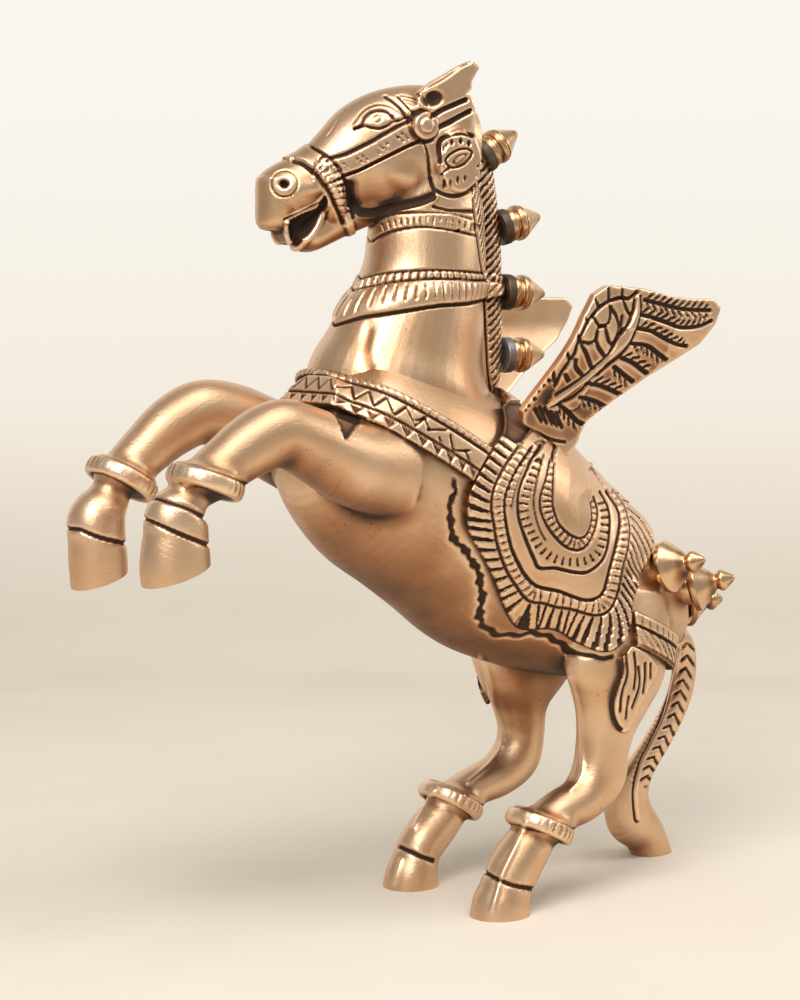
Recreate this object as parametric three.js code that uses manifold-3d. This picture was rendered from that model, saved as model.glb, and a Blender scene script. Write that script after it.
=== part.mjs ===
// A rearing winged horse in antique brass: hollow body castings, cast limbs, lathe-turned finials.
// The horse faces -X, its left side is -Y and +Z is up. It stands on two hind hooves and its tail.
// Lengths are in millimetres. The median plane is y = 0 and the floor is z = 0 until the last step.
import * as THREE from 'three';
import { mergeVertices } from 'three/addons/utils/BufferGeometryUtils.js';
import Module from 'manifold-3d';

const wasm = await Module();
wasm.setup();

// Fits
const jointGap = 0.3; // braze gap between neighbouring castings
const spigotClearance = 0.3; // radial play of a spigot in its hole

// Castings
const bodyWall = 4.5;
const neckWall = 4;
const strapThickness = 2.6;
const clothThickness = 3;
const wingThickness = 4.2;

// Stance
const forelegSpacing = 48;
const hindLegSpacing = 52;
const neckTurn = -12; // degrees, head and neck turn a little to the horse's right
const neckPivot = new THREE.Vector2(30, 0);

// Facets round each kind of section
const bodySides = 20;
const headSides = 14;
const limbSides = 12;
const turnedSides = 12;
const crestSides = 8;

// Relief that stands on the castings and the cloth
const rollBand = { at: [8.5, 218.7], slope: 6.5, width: 8.6, grow: 0.8, topWidth: 5.4, topGrow: 1.6 };
const narrowBand = { at: [8.5, 225.2], slope: 3, width: 2.8, grow: 0.5 };
const cloth = { border: 0.5, borderIn: 12.5, fringe: 8.5, bulge: 0.7, bulgeIn: 30 };

// Barrel from chest to rump. A row is centre x, centre y, centre z, half depth, half width.
const barrelRows = [
  [-40, 0, 178, 12, 13],
  [-31, 0, 172, 28, 25],
  [-12, 0, 162, 38, 32],
  [9, 0, 151.5, 41, 34],
  [27, 0, 141, 42.5, 34.5],
  [42, 0, 130, 42.5, 34],
  [57, 0, 121.5, 40, 33.5],
  [73, 0, 114, 37, 33],
  [89, 0, 107, 33, 31],
  [102, 0, 101.5, 28.5, 28],
  [113, 0, 97, 23, 24.5],
  [122, 0, 93.5, 16, 19.5],
  [129, 0, 91, 8, 11],
];

// Neck from inside the chest to behind the ears. Rows as above, in the turned frame of the neck.
const neckRows = [
  [6, 0, 162, 26, 22],
  [3, 0, 175, 33, 28],
  [3.2, 0, 187, 33.8, 28],
  [5.7, 0, 198, 29.3, 25],
  [9.7, 0, 211, 25.3, 22.5],
  [13, 0, 225, 22.4, 20],
  [14, 0, 239, 21.4, 18],
  [14.5, 0, 252, 20, 16],
  [16, 0, 263, 16, 14],
];

const headRows = [
  [31, 0, 270, 13, 10],
  [18, 0, 270.5, 20, 14.5],
  [3, 0, 268.5, 21.5, 15.5],
  [-10, 0, 264.5, 20, 14.5],
  [-20, 0, 260.5, 15.5, 12.2],
  [-29, 0, 257, 11.5, 10.8],
  [-38, 0, 253.5, 10.5, 10.8],
  [-42, 0, 251, 11, 10],
  [-44.6, 0, 249.2, 10.4, 8.6],
  [-46.8, 0, 247.6, 8, 6.6],
  [-47.9, 0, 246.8, 4.4, 3.8],
];

// Cheek muscle, a flat swelling on each side of the jaw
const cheekRows = [
  [10, 0, 259, 9, 9],
  [3, 0, 260, 11.5, 14.5],
  [-6, 0, 261, 10.5, 14.6],
  [-14, 0, 260, 7, 12],
];

const jawRows = [
  [-4, 0, 251, 7, 9],
  [-16, 0, 246, 6.5, 8],
  [-25, 0, 241, 5.6, 7],
  [-32, 0, 237.6, 5, 6.6],
  [-37, 0, 237.4, 3.6, 5],
];

// The open mouth is cut in from both sides; seen from the side, as x, z
const mouthOutline = [
  [-42, 240], [-41.8, 243.2], [-37.5, 245.2], [-32.5, 247.4], [-29, 250], [-28.2, 249.4],
  [-30.6, 245.4], [-32.4, 241.5], [-35, 238.4], [-38.6, 235.4], [-41, 236.2],
];
const mouthWall = 7; // half the thickness left in the middle

// Mane crest along the back of the neck. A row is x, y, z, half depth, half width.
const crestRows = [
  [22, 0, 284, 5, 3],
  [29, 0, 275, 6, 3.4],
  [33.5, 0, 264, 6, 3.6],
  [36, 0, 250, 6, 3.6],
  [37.5, 0, 235, 6, 3.6],
  [38, 0, 215, 6, 3.6],
  [38, 0, 197, 6, 3.6],
  [40, 0, 181, 6, 3.6],
];

// Ears, laid back: a notched leaf outline seen from the side, as x, z. The right ear lies lower.
const earOutline = [
  [3, 280], [5, 287.5], [10.6, 291.5], [14.8, 293.7], [19.9, 296.6], [25, 299], [28.5, 296.8],
  [25.4, 292], [25, 288.6], [22.2, 287.4], [25, 286.9], [26.6, 283.1], [25.4, 275], [12, 272],
];
const ears = { left: { back: 0, drop: 0 }, right: { back: 3, drop: 3 } };
const earY = 11;
const earThickness = 5;
const tuftRows = [
  [14, 0, 277, 8, 8],
  [22, 0, 279, 7, 6.5],
  [29, 0, 280, 4, 4],
];
const nosebandRows = [
  [-24.8, 0, 255.1, 13, 12],
  [-27.5, 0, 254, 14.6, 13],
  [-30.3, 0, 252.9, 13, 12],
];
// The bridle's ring boss and the oval ornament that hangs behind the cheek
const ringBoss = { at: [5.5, 275.8], radius: 4, reach: 17.4 };
const earDrop = { at: [19, 264], halfLength: 10.6, halfWidth: 8.2, from: 8, reach: 17.6, facets: 14 };

// Legs. Rows as above, with y left at zero and set by the spacing; the last rows are the hoof.
const forelegRows = {
  left: [
    [-16, 0, 158, 16, 9],
    [-38, 0, 162, 14, 11],
    [-56, 0, 170, 12, 11],
    [-68, 0, 174, 11, 10.5],
    [-79, 0, 170.5, 10.3, 9.8],
    [-89, 0, 165, 9, 9],
    [-97, 0, 160, 8, 8.4],
    [-103, 0, 154.5, 7.5, 8],
    [-107, 0, 148, 10, 9],
    [-108, 0, 141, 12, 10],
    [-108, 0, 131, 12.4, 10.4],
    [-107, 0, 124, 11.5, 10],
  ],
  right: [
    [-18, 0, 160, 16, 9],
    [-38, 0, 168, 14, 11],
    [-54, 0, 176, 12, 11],
    [-67, 0, 178.5, 11, 10.5],
    [-78, 0, 174.5, 10.3, 9.8],
    [-88, 0, 167.5, 9, 9],
    [-96, 0, 161, 8, 8.4],
    [-103, 0, 153, 7.5, 8],
    [-107.5, 0, 145, 10, 9],
    [-108.5, 0, 137, 11.5, 10],
    [-107.5, 0, 127, 12, 10.4],
    [-106.5, 0, 118, 11.5, 10],
  ],
};
const foreSole = { left: { at: [-108, 131], slope: 18 }, right: { at: [-108, 124.5], slope: 18 } };
const hindLegRows = {
  left: [
    [84, 0, 112, 17, 9],
    [82, 0, 98, 22, 12],
    [79, 0, 81, 22, 12],
    [77, 0, 71, 16.5, 11.5],
    [75, 0, 63, 12, 10.5],
    [73, 0, 54, 9.8, 9.8],
    [71, 0, 44, 10.6, 9.2],
    [63, 0, 36.5, 8.6, 8.6],
    [52, 0, 33, 7.6, 8.2],
    [42, 0, 27.5, 8, 8.4],
    [34, 0, 19, 8.6, 8.8],
    [27.5, 0, 11, 10.4, 9.8],
    [24.5, 0, 4, 10.8, 10.2],
    [23.5, 0, -4, 10.8, 10.2],
  ],
  right: [
    [86, 0, 112, 17, 9],
    [83, 0, 98, 24.5, 12],
    [80.5, 0, 81, 25, 12],
    [79, 0, 70, 18.5, 11.5],
    [78.5, 0, 61, 10.4, 10.5],
    [79, 0, 51, 8.6, 9.4],
    [76, 0, 42, 9.6, 9.2],
    [67, 0, 36, 8.2, 8.6],
    [55, 0, 33, 7.4, 8.2],
    [44, 0, 27.5, 8, 8.4],
    [35, 0, 19, 8.6, 8.8],
    [28, 0, 11, 10.4, 9.8],
    [25, 0, 4, 10.8, 10.2],
    [24, 0, -4, 10.8, 10.2],
  ],
};

// Anklets: centre on the leg and how steeply the leg drops there, in degrees below -X
const foreAnklets = { left: { at: [-97, 159.5], drop: 69 }, right: { at: [-98.5, 157.5], drop: 59 } };
const hindAnklets = { left: { at: [43, 29.5], drop: 63 }, right: { at: [44.5, 29.5], drop: 58 } };
// An anklet's profile: distance along the leg, radius
const ankletProfile = [[-3.6, 10.6], [-3, 12.2], [2.4, 12.8], [3.4, 11.6]];
const ankletEnd = 3.4;

const tailRows = [
  [114, 0, 89, 7, 6],
  [127, 0, 87.5, 6.5, 6],
  [136.5, 0, 83.5, 6, 5.4],
  [140, 0, 75, 5, 4.6],
  [138, 0, 64, 5, 4.6],
  [133.5, 1, 54, 5, 4.8],
  [126.5, 2, 44, 5.2, 5],
  [120.5, 4, 35, 5.6, 5.6],
  [116.5, 6, 26, 9, 6.5],
  [118, 7, 17, 10.5, 7.5],
  [127, 8, 8, 8.5, 7.5],
  [134, 9, -4, 8, 7],
];

// Outlines seen from the side, as x, z
const clothOutline = [
  [30, 182], [22.5, 173], [15, 167], [9.4, 161.5], [5, 156.5], [1.8, 151], [1.2, 144], [3, 137.5],
  [8.8, 129.8], [15.8, 120.5], [22.3, 110.4], [29, 102.8], [35.5, 100.4], [43, 100.4], [49, 98.5],
  [56, 94.5], [61, 91.6], [66, 91.3], [70, 93.5], [73.5, 97.5], [75, 103], [77.5, 110], [83, 117],
  [91, 122.5], [101, 129.5], [113, 138], [113, 160], [70, 200],
];
const wingOutline = [
  [31, 178], [37, 189], [43, 200], [49, 211], [54, 218.5], [60, 221.5], [75, 220.5], [90, 217.5],
  [103, 216.5], [112, 216.5], [115.5, 213], [112.5, 207], [106, 200], [95, 194], [86, 189],
  [73, 180.5], [62, 173], [58, 165], [52, 160], [38, 162], [33, 168],
];
const leafOutline = [
  [75, 94], [81, 90], [87, 83.5], [82, 75.6], [77.5, 69], [74, 62], [70.5, 61.5], [67.4, 65.5],
  [66.4, 72], [67.4, 77.5], [69.8, 82], [69.8, 88],
];
const wingRootHeight = 168;
const wingTipHeight = 208;
const wingRootY = 26;
const wingTipY = 40;
const wingSpigot = { at: [45, 166], radius: 3, reach: 12, rise: 12, clear: 20 };
const thighLine = 56; // the skin under the straps ends here

// Slanted straps: a point in the median plane, the slope of the strap, its width
const collar = { at: [-26, 181.5], slope: -31, width: 14.6 };
const crupper = { at: [90, 92.6], slope: -25, width: 12, start: 76 };
// The seam of the two body castings: a point of it and its lean back from the vertical
const seam = { at: [4, 128], lean: -20 };
const neckJoinX = 34; // under the cloth, the neck casting ends here

// Turned finials. A profile row is distance along the axis, radius.
const spigotRadius = 2;
const spigotLength = 7;
const holeDepth = 8;
const washer = { radius: 6.4, thick: 3 };
const stem = { radius: 5, reach: 10 };
const maneProfile = [
  [0, 5.9], [2, 5.9], [2.3, 5.1], [3.1, 5.1], [3.5, 6.4], [5.4, 6.4], [5.7, 5.7], [6.1, 6], [13.6, 1.1],
];
const maneTip = 14.2;
const rumpTip = 20.8;
const rumpRing = 6.4; // base ring
const rumpRim = 9.7; // widest part of the bell
const rumpRimAt = 3.9; // the rim's rear face keeps a little more than this from the foot
const rumpProfile = [
  [0, rumpRing], [3.6, rumpRing], [4, 5.6], [4.3, 9.2], [6.2, rumpRim], [7.1, 9.4], [8.8, 8], [13.2, 3.4],
  [13.8, 3], [14.6, 3.6], [15.9, 4.1], [17.2, 3.5], [20.5, 1.1],
];

// Places of the finials: foot on the casting and direction, in degrees up and out to the side
const maneFinials = [
  { foot: [35, 266], rise: 33 },
  { foot: [42.5, 241.5], rise: 15 },
  { foot: [44, 219], rise: -2 },
  { foot: [43.9, 196.5], rise: 0 },
];
const rumpFinials = [
  { foot: [98.4, -26.1, 117.2], rise: 14, out: 71 },
  { foot: [118.6, -18.8, 107.6], rise: 14, out: 50 },
  { foot: [132, -1.5, 99.6], rise: 2, out: 20 },
  { foot: [118.6, 18.8, 107.6], rise: 14, out: -50 },
  { foot: [98.4, 26.1, 117.2], rise: 14, out: -71 },
];

const brass = (color, roughness) => new THREE.MeshStandardMaterial({ color, roughness, metalness: 1 });
const castBrass = brass(0xc39a6b, 0.42);
const limbBrass = brass(0xbf9364, 0.42);
const chasedBrass = brass(0xb98d5f, 0.48);
const turnedBrass = brass(0xd0a673, 0.3);
const washerMetal = new THREE.MeshStandardMaterial({ color: 0x6d6a66, roughness: 0.6, metalness: 0.9 });

const sides = ['left', 'right'];
const signOf = { left: -1, right: 1 };
const radians = THREE.MathUtils.degToRad;

// The turned frame of head and neck
const neckFrame = new THREE.Matrix4().makeTranslation(neckPivot.x, neckPivot.y, 0)
  .multiply(new THREE.Matrix4().makeRotationZ(radians(neckTurn)))
  .multiply(new THREE.Matrix4().makeTranslation(-neckPivot.x, -neckPivot.y, 0));

// A smooth path through rows of numbers, with the given number of steps in each span.
function smoothRows(rows, steps) {
  const out = [];
  for (let i = 0; i < rows.length - 1; i += 1) {
    const a = rows[Math.max(i - 1, 0)];
    const b = rows[i];
    const c = rows[i + 1];
    const d = rows[Math.min(i + 2, rows.length - 1)];
    for (let k = 0; k < steps; k += 1) {
      const t = k / steps;
      out.push(b.map((_, n) => 0.5 * (2 * b[n] + (c[n] - a[n]) * t
        + (2 * a[n] - 5 * b[n] + 4 * c[n] - d[n]) * t * t
        + (3 * b[n] - 3 * c[n] + d[n] - a[n]) * t * t * t)));
    }
  }
  out.push(rows[rows.length - 1]);
  return out;
}

// Closed geometry from rings of points: side faces between rings and a fan at each end.
function ringsToGeometry(rings, centres) {
  const count = rings[0].length;
  const points = rings.flat();
  const first = points.push(centres[0]) - 1;
  const last = points.push(centres[centres.length - 1]) - 1;
  const faces = [];
  for (let r = 0; r < rings.length - 1; r += 1) {
    for (let s = 0; s < count; s += 1) {
      const a = r * count + s;
      const b = r * count + (s + 1) % count;
      faces.push(a, b, b + count, a, b + count, a + count);
    }
  }
  const end = (rings.length - 1) * count;
  for (let s = 0; s < count; s += 1) {
    const n = (s + 1) % count;
    faces.push(first, n, s, last, end + s, end + n);
  }
  const geometry = new THREE.BufferGeometry().setFromPoints(points);
  geometry.setIndex(faces);
  return geometry;
}

// Solid with elliptical sections square to a path, grown outward by an amount (or shrunk).
function loft(rows, { facets = limbSides, steps = 2, grow = 0, y = 0, frame } = {}) {
  const path = smoothRows(rows, steps);
  const rings = [];
  const centres = [];
  for (let i = 0; i < path.length; i += 1) {
    const before = path[Math.max(i - 1, 0)];
    const after = path[Math.min(i + 1, path.length - 1)];
    const tangent = new THREE.Vector3(after[0] - before[0], 0, after[2] - before[2]).normalize();
    const deep = new THREE.Vector3(tangent.z, 0, -tangent.x);
    const ending = (i === path.length - 1 ? 1 : 0) - (i === 0 ? 1 : 0);
    const centre = new THREE.Vector3(path[i][0], path[i][1] + y, path[i][2]);
    centre.addScaledVector(tangent, ending * grow);
    centres.push(centre);
    const ring = [];
    for (let s = 0; s < facets; s += 1) {
      const angle = s * 2 * Math.PI / facets;
      const point = centre.clone().addScaledVector(deep, Math.cos(angle) * (path[i][3] + grow));
      point.y += Math.sin(angle) * (path[i][4] + grow);
      ring.push(point);
    }
    rings.push(ring);
  }
  return toSolid(ringsToGeometry(rings, centres), frame);
}

// Turned solid: a profile of distance and radius about an axis from a foot point.
function turned(profile, tip, { foot, direction }, facets = turnedSides, frame = undefined) {
  const outline = [new THREE.Vector2(0, profile[0][0])];
  profile.forEach(([along, radius]) => outline.push(new THREE.Vector2(radius, along)));
  outline.push(new THREE.Vector2(0, tip));
  const geometry = new THREE.LatheGeometry(outline, facets);
  const turn = new THREE.Quaternion().setFromUnitVectors(new THREE.Vector3(0, 1, 0), direction);
  geometry.applyQuaternion(turn);
  geometry.translate(foot.x, foot.y, foot.z);
  return toSolid(geometry, frame);
}

function rod(axis, from, to, radius, facets = turnedSides) {
  return turned([[from, radius], [to, radius]], to, axis, facets);
}

// Geometry of a side outline (x, z) between two distances from the median plane.
function sidePlate(outline, lowY, highY) {
  const shape = new THREE.Shape(outline.map(([x, z]) => new THREE.Vector2(x, z)));
  const geometry = new THREE.ExtrudeGeometry(shape, { depth: highY - lowY, bevelEnabled: false });
  geometry.rotateX(Math.PI / 2);
  geometry.translate(0, highY, 0);
  return geometry;
}
const sidePrism = (outline, lowY, highY) => toSolid(sidePlate(outline, lowY, highY));

// Box turned about the Y axis
function block(centre, size, slope) {
  const geometry = new THREE.BoxGeometry(...size);
  geometry.rotateY(radians(slope));
  geometry.translate(...centre);
  return toSolid(geometry);
}

function toSolid(geometry, frame = new THREE.Matrix4()) {
  const bare = new THREE.BufferGeometry();
  bare.setAttribute('position', geometry.attributes.position.clone());
  bare.setIndex(geometry.index);
  bare.applyMatrix4(frame);
  const merged = mergeVertices(bare, 1e-4);
  const faces = new Uint32Array(merged.index.array);
  const solid = meshSolid(merged, faces);
  if (solid.volume() > 0) return solid;
  for (let i = 0; i < faces.length; i += 3) {
    [faces[i], faces[i + 1]] = [faces[i + 1], faces[i]];
  }
  return meshSolid(merged, faces);
}

function meshSolid(merged, faces) {
  return new wasm.Manifold(new wasm.Mesh({
    numProp: 3,
    vertProperties: new Float32Array(merged.attributes.position.array),
    triVerts: faces,
  }));
}

function toGeometry(solid) {
  const mesh = solid.getMesh();
  const geometry = new THREE.BufferGeometry();
  geometry.setAttribute('position', new THREE.BufferAttribute(mesh.vertProperties, mesh.numProp));
  geometry.setIndex(new THREE.BufferAttribute(mesh.triVerts, 1));
  geometry.computeVertexNormals();
  return geometry;
}

// The largest of the separate bodies of a solid, so that a stray sliver is left out.
const largest = (solid) => solid.decompose().sort((a, b) => b.volume() - a.volume())[0];
const joined = (solids) => solids.reduce((sum, solid) => sum.add(solid));
const cutBy = (solid, tools) => tools.reduce((rest, tool) => rest.subtract(tool), solid);

const group = new THREE.Group();
function add(name, solid, material) {
  const mesh = new THREE.Mesh(toGeometry(solid), material);
  mesh.name = name;
  group.add(mesh);
}

// Half spaces that cut: below a slanted plane, or behind a leaning one, moved away by a gap
const farther = 400;
function below([x, z], slope, gap = 0) {
  const away = farther / 2 + gap;
  const centre = [x + away * Math.sin(radians(slope)), 0, z - away * Math.cos(radians(slope))];
  return block(centre, [farther, farther, farther], -slope);
}
function behind([x, z], lean, gap = 0) {
  const away = farther / 2 + gap;
  const centre = [x + away * Math.cos(radians(lean)), 0, z - away * Math.sin(radians(lean))];
  return block(centre, [farther, farther, farther], lean);
}
const slab = ([x, z], slope, thick) => block([x, 0, z], [farther, farther, thick], -slope);
const underFloor = below([0, 0], 0);

// Bare forms, each grown by an amount
const barrel = (grow) => loft(barrelRows, { facets: bodySides, steps: 1, grow });
const neck = (grow) => loft(neckRows, { facets: bodySides, steps: 1, grow, frame: neckFrame });
const crest = (grow) => loft(crestRows, { facets: crestSides, steps: 1, grow, frame: neckFrame });
const foreleg = (side, grow) => loft(forelegRows[side], { grow, y: signOf[side] * forelegSpacing / 2 });
const hindLeg = (side, grow) => loft(hindLegRows[side], { grow, y: signOf[side] * hindLegSpacing / 2 });
const tail = (grow) => loft(tailRows, { grow });

// Where the finials stand
function maneAxis({ foot, rise }) {
  const turn = radians(neckTurn);
  const place = new THREE.Vector2(foot[0], 0).rotateAround(neckPivot, turn);
  const flat = Math.cos(radians(rise));
  return {
    foot: new THREE.Vector3(place.x, place.y, foot[1]),
    direction: new THREE.Vector3(
      flat * Math.cos(turn),
      flat * Math.sin(turn),
      Math.sin(radians(rise)),
    ),
  };
}
function rumpAxis({ foot, rise, out }) {
  const flat = Math.cos(radians(rise));
  return {
    foot: new THREE.Vector3(...foot),
    direction: new THREE.Vector3(
      flat * Math.cos(radians(out)),
      -flat * Math.sin(radians(out)),
      Math.sin(radians(rise)),
    ),
  };
}
const maneAxes = maneFinials.map(maneAxis);
const rumpAxes = rumpFinials.map(rumpAxis);
const holeRadius = spigotRadius + spigotClearance;
const spigotHole = (axis) => rod(axis, -holeDepth, jointGap, holeRadius);

// The wings' spigots stand upright in the back
const wingAxis = (side) => ({
  foot: new THREE.Vector3(wingSpigot.at[0], signOf[side] * wingRootY, wingSpigot.at[1]),
  direction: new THREE.Vector3(0, 0, 1),
});
const wingHole = (side) => rod(
  wingAxis(side),
  -wingSpigot.reach - jointGap,
  wingSpigot.clear,
  wingSpigot.radius + spigotClearance,
);

// The two cavities, and the join of neck and body that runs under the collar and the cloth
const neckCore = neck(-neckWall);
const core = barrel(-bodyWall).add(neckCore);
const bodyZone = (gap) => below(collar.at, collar.slope, gap).add(behind([neckJoinX, 0], 0, gap));

// Head and neck: one hollow casting, open at the bottom into the chest
function ear(side) {
  const { back, drop } = ears[side];
  const outline = earOutline.map(([x, z]) => [x + back, z - drop]);
  const middle = signOf[side] * earY;
  return toSolid(sidePlate(outline, middle - earThickness / 2, middle + earThickness / 2), neckFrame);
}
function cheekBoss([x, z], radius, reach, side) {
  const axis = {
    foot: new THREE.Vector3(x, 0, z),
    direction: new THREE.Vector3(0, signOf[side], 0),
  };
  return turned([[0, radius], [reach, radius]], reach, axis, turnedSides, neckFrame);
}
function drop(side) {
  const outline = Array.from({ length: earDrop.facets }, (_, i) => {
    const angle = i * 2 * Math.PI / earDrop.facets;
    return [
      earDrop.at[0] + earDrop.halfWidth * Math.cos(angle),
      earDrop.at[1] + earDrop.halfLength * Math.sin(angle),
    ];
  });
  const [low, high] = [signOf[side] * earDrop.from, signOf[side] * earDrop.reach].sort((a, b) => a - b);
  return toSolid(sidePlate(outline, low, high), neckFrame);
}
const bosses = sides.flatMap((side) => [
  ear(side),
  drop(side),
  cheekBoss(ringBoss.at, ringBoss.radius, ringBoss.reach, side),
]);
const head = joined([
  loft(headRows, { facets: headSides, frame: neckFrame }),
  loft(jawRows, { frame: neckFrame }),
  loft(cheekRows, { facets: headSides, frame: neckFrame }),
  loft(nosebandRows, { frame: neckFrame }),
  loft(tuftRows, { frame: neckFrame }),
  ...bosses,
]);
const mouth = sides.map((side) => {
  const [low, high] = [signOf[side] * mouthWall, signOf[side] * farther].sort((a, b) => a - b);
  return toSolid(sidePlate(mouthOutline, low, high), neckFrame);
});
// Raised bands round the neck: a roll with a rounded top and a narrow one above it
const bands = joined([
  neck(rollBand.grow).intersect(slab(rollBand.at, rollBand.slope, rollBand.width)),
  neck(rollBand.topGrow).intersect(slab(rollBand.at, rollBand.slope, rollBand.topWidth)),
  neck(narrowBand.grow).intersect(slab(narrowBand.at, narrowBand.slope, narrowBand.width)),
]);
const neckBlank = joined([head, crest(0), neck(0), barrel(0), bands]);
const spotFace = (axis) => rod(axis, 0, washer.radius, washer.radius + spigotClearance);
add('head_and_neck', largest(cutBy(neckBlank, [
  core,
  bodyZone(-jointGap / 2),
  ...mouth,
  ...maneAxes.map(spigotHole),
  ...maneAxes.map(spotFace),
])), castBrass);

// Body: two hollow castings that meet at the seam, bored for the spigots of what they carry
const stems = rumpAxes.map((axis) => rod(axis, -stem.reach, 0, stem.radius));
const rumpClear = rumpAxes.flatMap((axis) => [
  rod(axis, 0, rumpTip, rumpRing + spigotClearance),
  rod(axis, rumpRimAt, rumpTip, rumpRim + spigotClearance),
]);
const shell = cutBy(joined([barrel(0).subtract(core), ...stems]), [
  ...rumpAxes.map(spigotHole),
  ...rumpClear,
  wingHole('left'),
  wingHole('right'),
]).intersect(bodyZone(jointGap / 2));
add('front_body', largest(shell.subtract(behind(seam.at, seam.lean, -jointGap / 2))), castBrass);
add('rear_body', largest(shell.intersect(behind(seam.at, seam.lean, jointGap / 2))), castBrass);

// Legs: solid castings with anklet and hoof, cut to the body they are brazed to
const barrelClear = barrel(jointGap);
const neckClear = neck(jointGap).add(crest(jointGap));
function anklet({ at, drop: steep }, y) {
  const direction = new THREE.Vector3(-Math.cos(radians(steep)), 0, -Math.sin(radians(steep)));
  return turned(ankletProfile, ankletEnd, { foot: new THREE.Vector3(at[0], y, at[1]), direction });
}
sides.forEach((side) => {
  const foreY = signOf[side] * forelegSpacing / 2;
  const fore = foreleg(side, 0).add(anklet(foreAnklets[side], foreY));
  const foreCut = [below(foreSole[side].at, foreSole[side].slope), barrelClear, neckClear];
  add(`${side}_foreleg`, largest(cutBy(fore, foreCut)), limbBrass);
  const hindY = signOf[side] * hindLegSpacing / 2;
  const hind = hindLeg(side, 0).add(anklet(hindAnklets[side], hindY));
  add(`${side}_hind_leg`, largest(cutBy(hind, [underFloor, barrelClear])), limbBrass);
});

// Tail: solid casting, the third foot
add('tail', largest(cutBy(tail(0), [underFloor, barrelClear, ...stems, ...rumpClear])), limbBrass);

// The skin that the cloth and straps lie on: barrel and thighs, grown by an amount
const skin = (grow) => joined([
  barrel(grow),
  ...sides.map((side) => hindLeg(side, grow).subtract(below([0, thighLine], 0))),
]);
const skinClear = skin(jointGap);
const clothRegion = (outline) => sidePrism(outline, -farther, farther);
function grownOutline(outline, grow) {
  const middle = new THREE.Vector2();
  outline.forEach(([x, z]) => middle.add(new THREE.Vector2(x, z).divideScalar(outline.length)));
  return outline.map(([x, z]) => {
    const away = new THREE.Vector2(x, z).sub(middle);
    away.setLength(away.length() + grow).add(middle);
    return [away.x, away.y];
  });
}
const clothClear = clothRegion(grownOutline(clothOutline, 2 * jointGap));
// What stands proud of the cloth: a border inside the fringe and a bulging middle
function clothRelief(gap) {
  const top = jointGap + clothThickness + gap;
  const border = skin(top + cloth.border)
    .intersect(clothRegion(grownOutline(clothOutline, gap - cloth.fringe)))
    .subtract(clothRegion(grownOutline(clothOutline, -gap - cloth.borderIn)));
  const bulge = skin(top + cloth.bulge)
    .intersect(clothRegion(grownOutline(clothOutline, gap - cloth.bulgeIn)));
  return border.add(bulge);
}

// Cloth, collar and crupper: skins that lie on the castings
const clothSkin = skin(jointGap + clothThickness).intersect(clothRegion(clothOutline))
  .add(clothRelief(0));
add('saddle_cloth', largest(cutBy(clothSkin, [
  skinClear,
  neckClear,
  wingHole('left'),
  wingHole('right'),
])), chasedBrass);

const strapGrow = jointGap + strapThickness;
const strapSkin = skin(strapGrow);
const collarBlank = strapSkin.add(neck(strapGrow))
  .intersect(slab(collar.at, collar.slope, collar.width))
  .subtract(behind([neckJoinX, 0], 0));
add('breast_collar', largest(cutBy(collarBlank, [
  skinClear,
  neckClear,
  clothClear,
  foreleg('left', jointGap),
  foreleg('right', jointGap),
])), chasedBrass);

const crupperBlank = strapSkin
  .intersect(slab(crupper.at, crupper.slope, crupper.width))
  .intersect(behind([crupper.start, 0], 0));
add('crupper_strap', largest(cutBy(crupperBlank, [
  skinClear,
  clothClear,
  tail(jointGap),
  ...stems,
  ...rumpClear,
])), chasedBrass);

const crupperClear = slab(crupper.at, crupper.slope, crupper.width + 2 * jointGap);
const leafInside = 20; // the leaf stays on the outer face of the thigh
sides.forEach((side) => {
  const [low, high] = side === 'left' ? [-farther, -leafInside] : [leafInside, farther];
  const leaf = strapSkin.intersect(sidePrism(leafOutline, low, high));
  add(`${side}_hip_leaf`, largest(cutBy(leaf, [skinClear, clothClear, crupperClear])), chasedBrass);
});

// Wings: plates that lean outward, each with a spigot down through the cloth into the body
function wingPlate(side) {
  const geometry = sidePlate(wingOutline, -wingThickness / 2, wingThickness / 2);
  const place = geometry.attributes.position;
  for (let i = 0; i < place.count; i += 1) {
    const rise = THREE.MathUtils.smoothstep(place.getZ(i), wingRootHeight, wingTipHeight);
    const lean = THREE.MathUtils.lerp(wingRootY, wingTipY, rise);
    place.setY(i, place.getY(i) + signOf[side] * lean);
  }
  return toSolid(geometry);
}
const wingSeat = skin(2 * jointGap + clothThickness).add(clothRelief(jointGap));
sides.forEach((side) => {
  const spigot = rod(wingAxis(side), -wingSpigot.reach, wingSpigot.rise, wingSpigot.radius);
  const wing = largest(cutBy(wingPlate(side), [wingSeat, neckClear]));
  add(`${side}_wing`, largest(wing.add(spigot)), chasedBrass);
});

// Finials: turned, each with a spigot; those of the mane stand on a grey washer
function finial(profile, tip, axis, lift) {
  const seat = { foot: axis.foot.clone().addScaledVector(axis.direction, lift), direction: axis.direction };
  return turned(profile, tip, seat).add(rod(axis, -spigotLength, lift + profile[1][0], spigotRadius));
}
maneAxes.forEach((axis, i) => {
  const ring = rod(axis, jointGap, jointGap + washer.thick, washer.radius);
  add(`mane_washer_${i + 1}`, ring.subtract(rod(axis, 0, 2 * washer.thick, holeRadius)), washerMetal);
  const lift = washer.thick + 2 * jointGap;
  add(`mane_finial_${i + 1}`, finial(maneProfile, maneTip, axis, lift), turnedBrass);
});
rumpAxes.forEach((axis, i) => {
  add(`rump_finial_${i + 1}`, finial(rumpProfile, rumpTip, axis, jointGap), turnedBrass);
});

// The origin moves to the middle of the underside
const extent = new THREE.Box3().setFromObject(group);
const middle = extent.getCenter(new THREE.Vector3());
group.children.forEach((mesh) => mesh.geometry.translate(-middle.x, -middle.y, -extent.min.z));

export default group;
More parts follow.
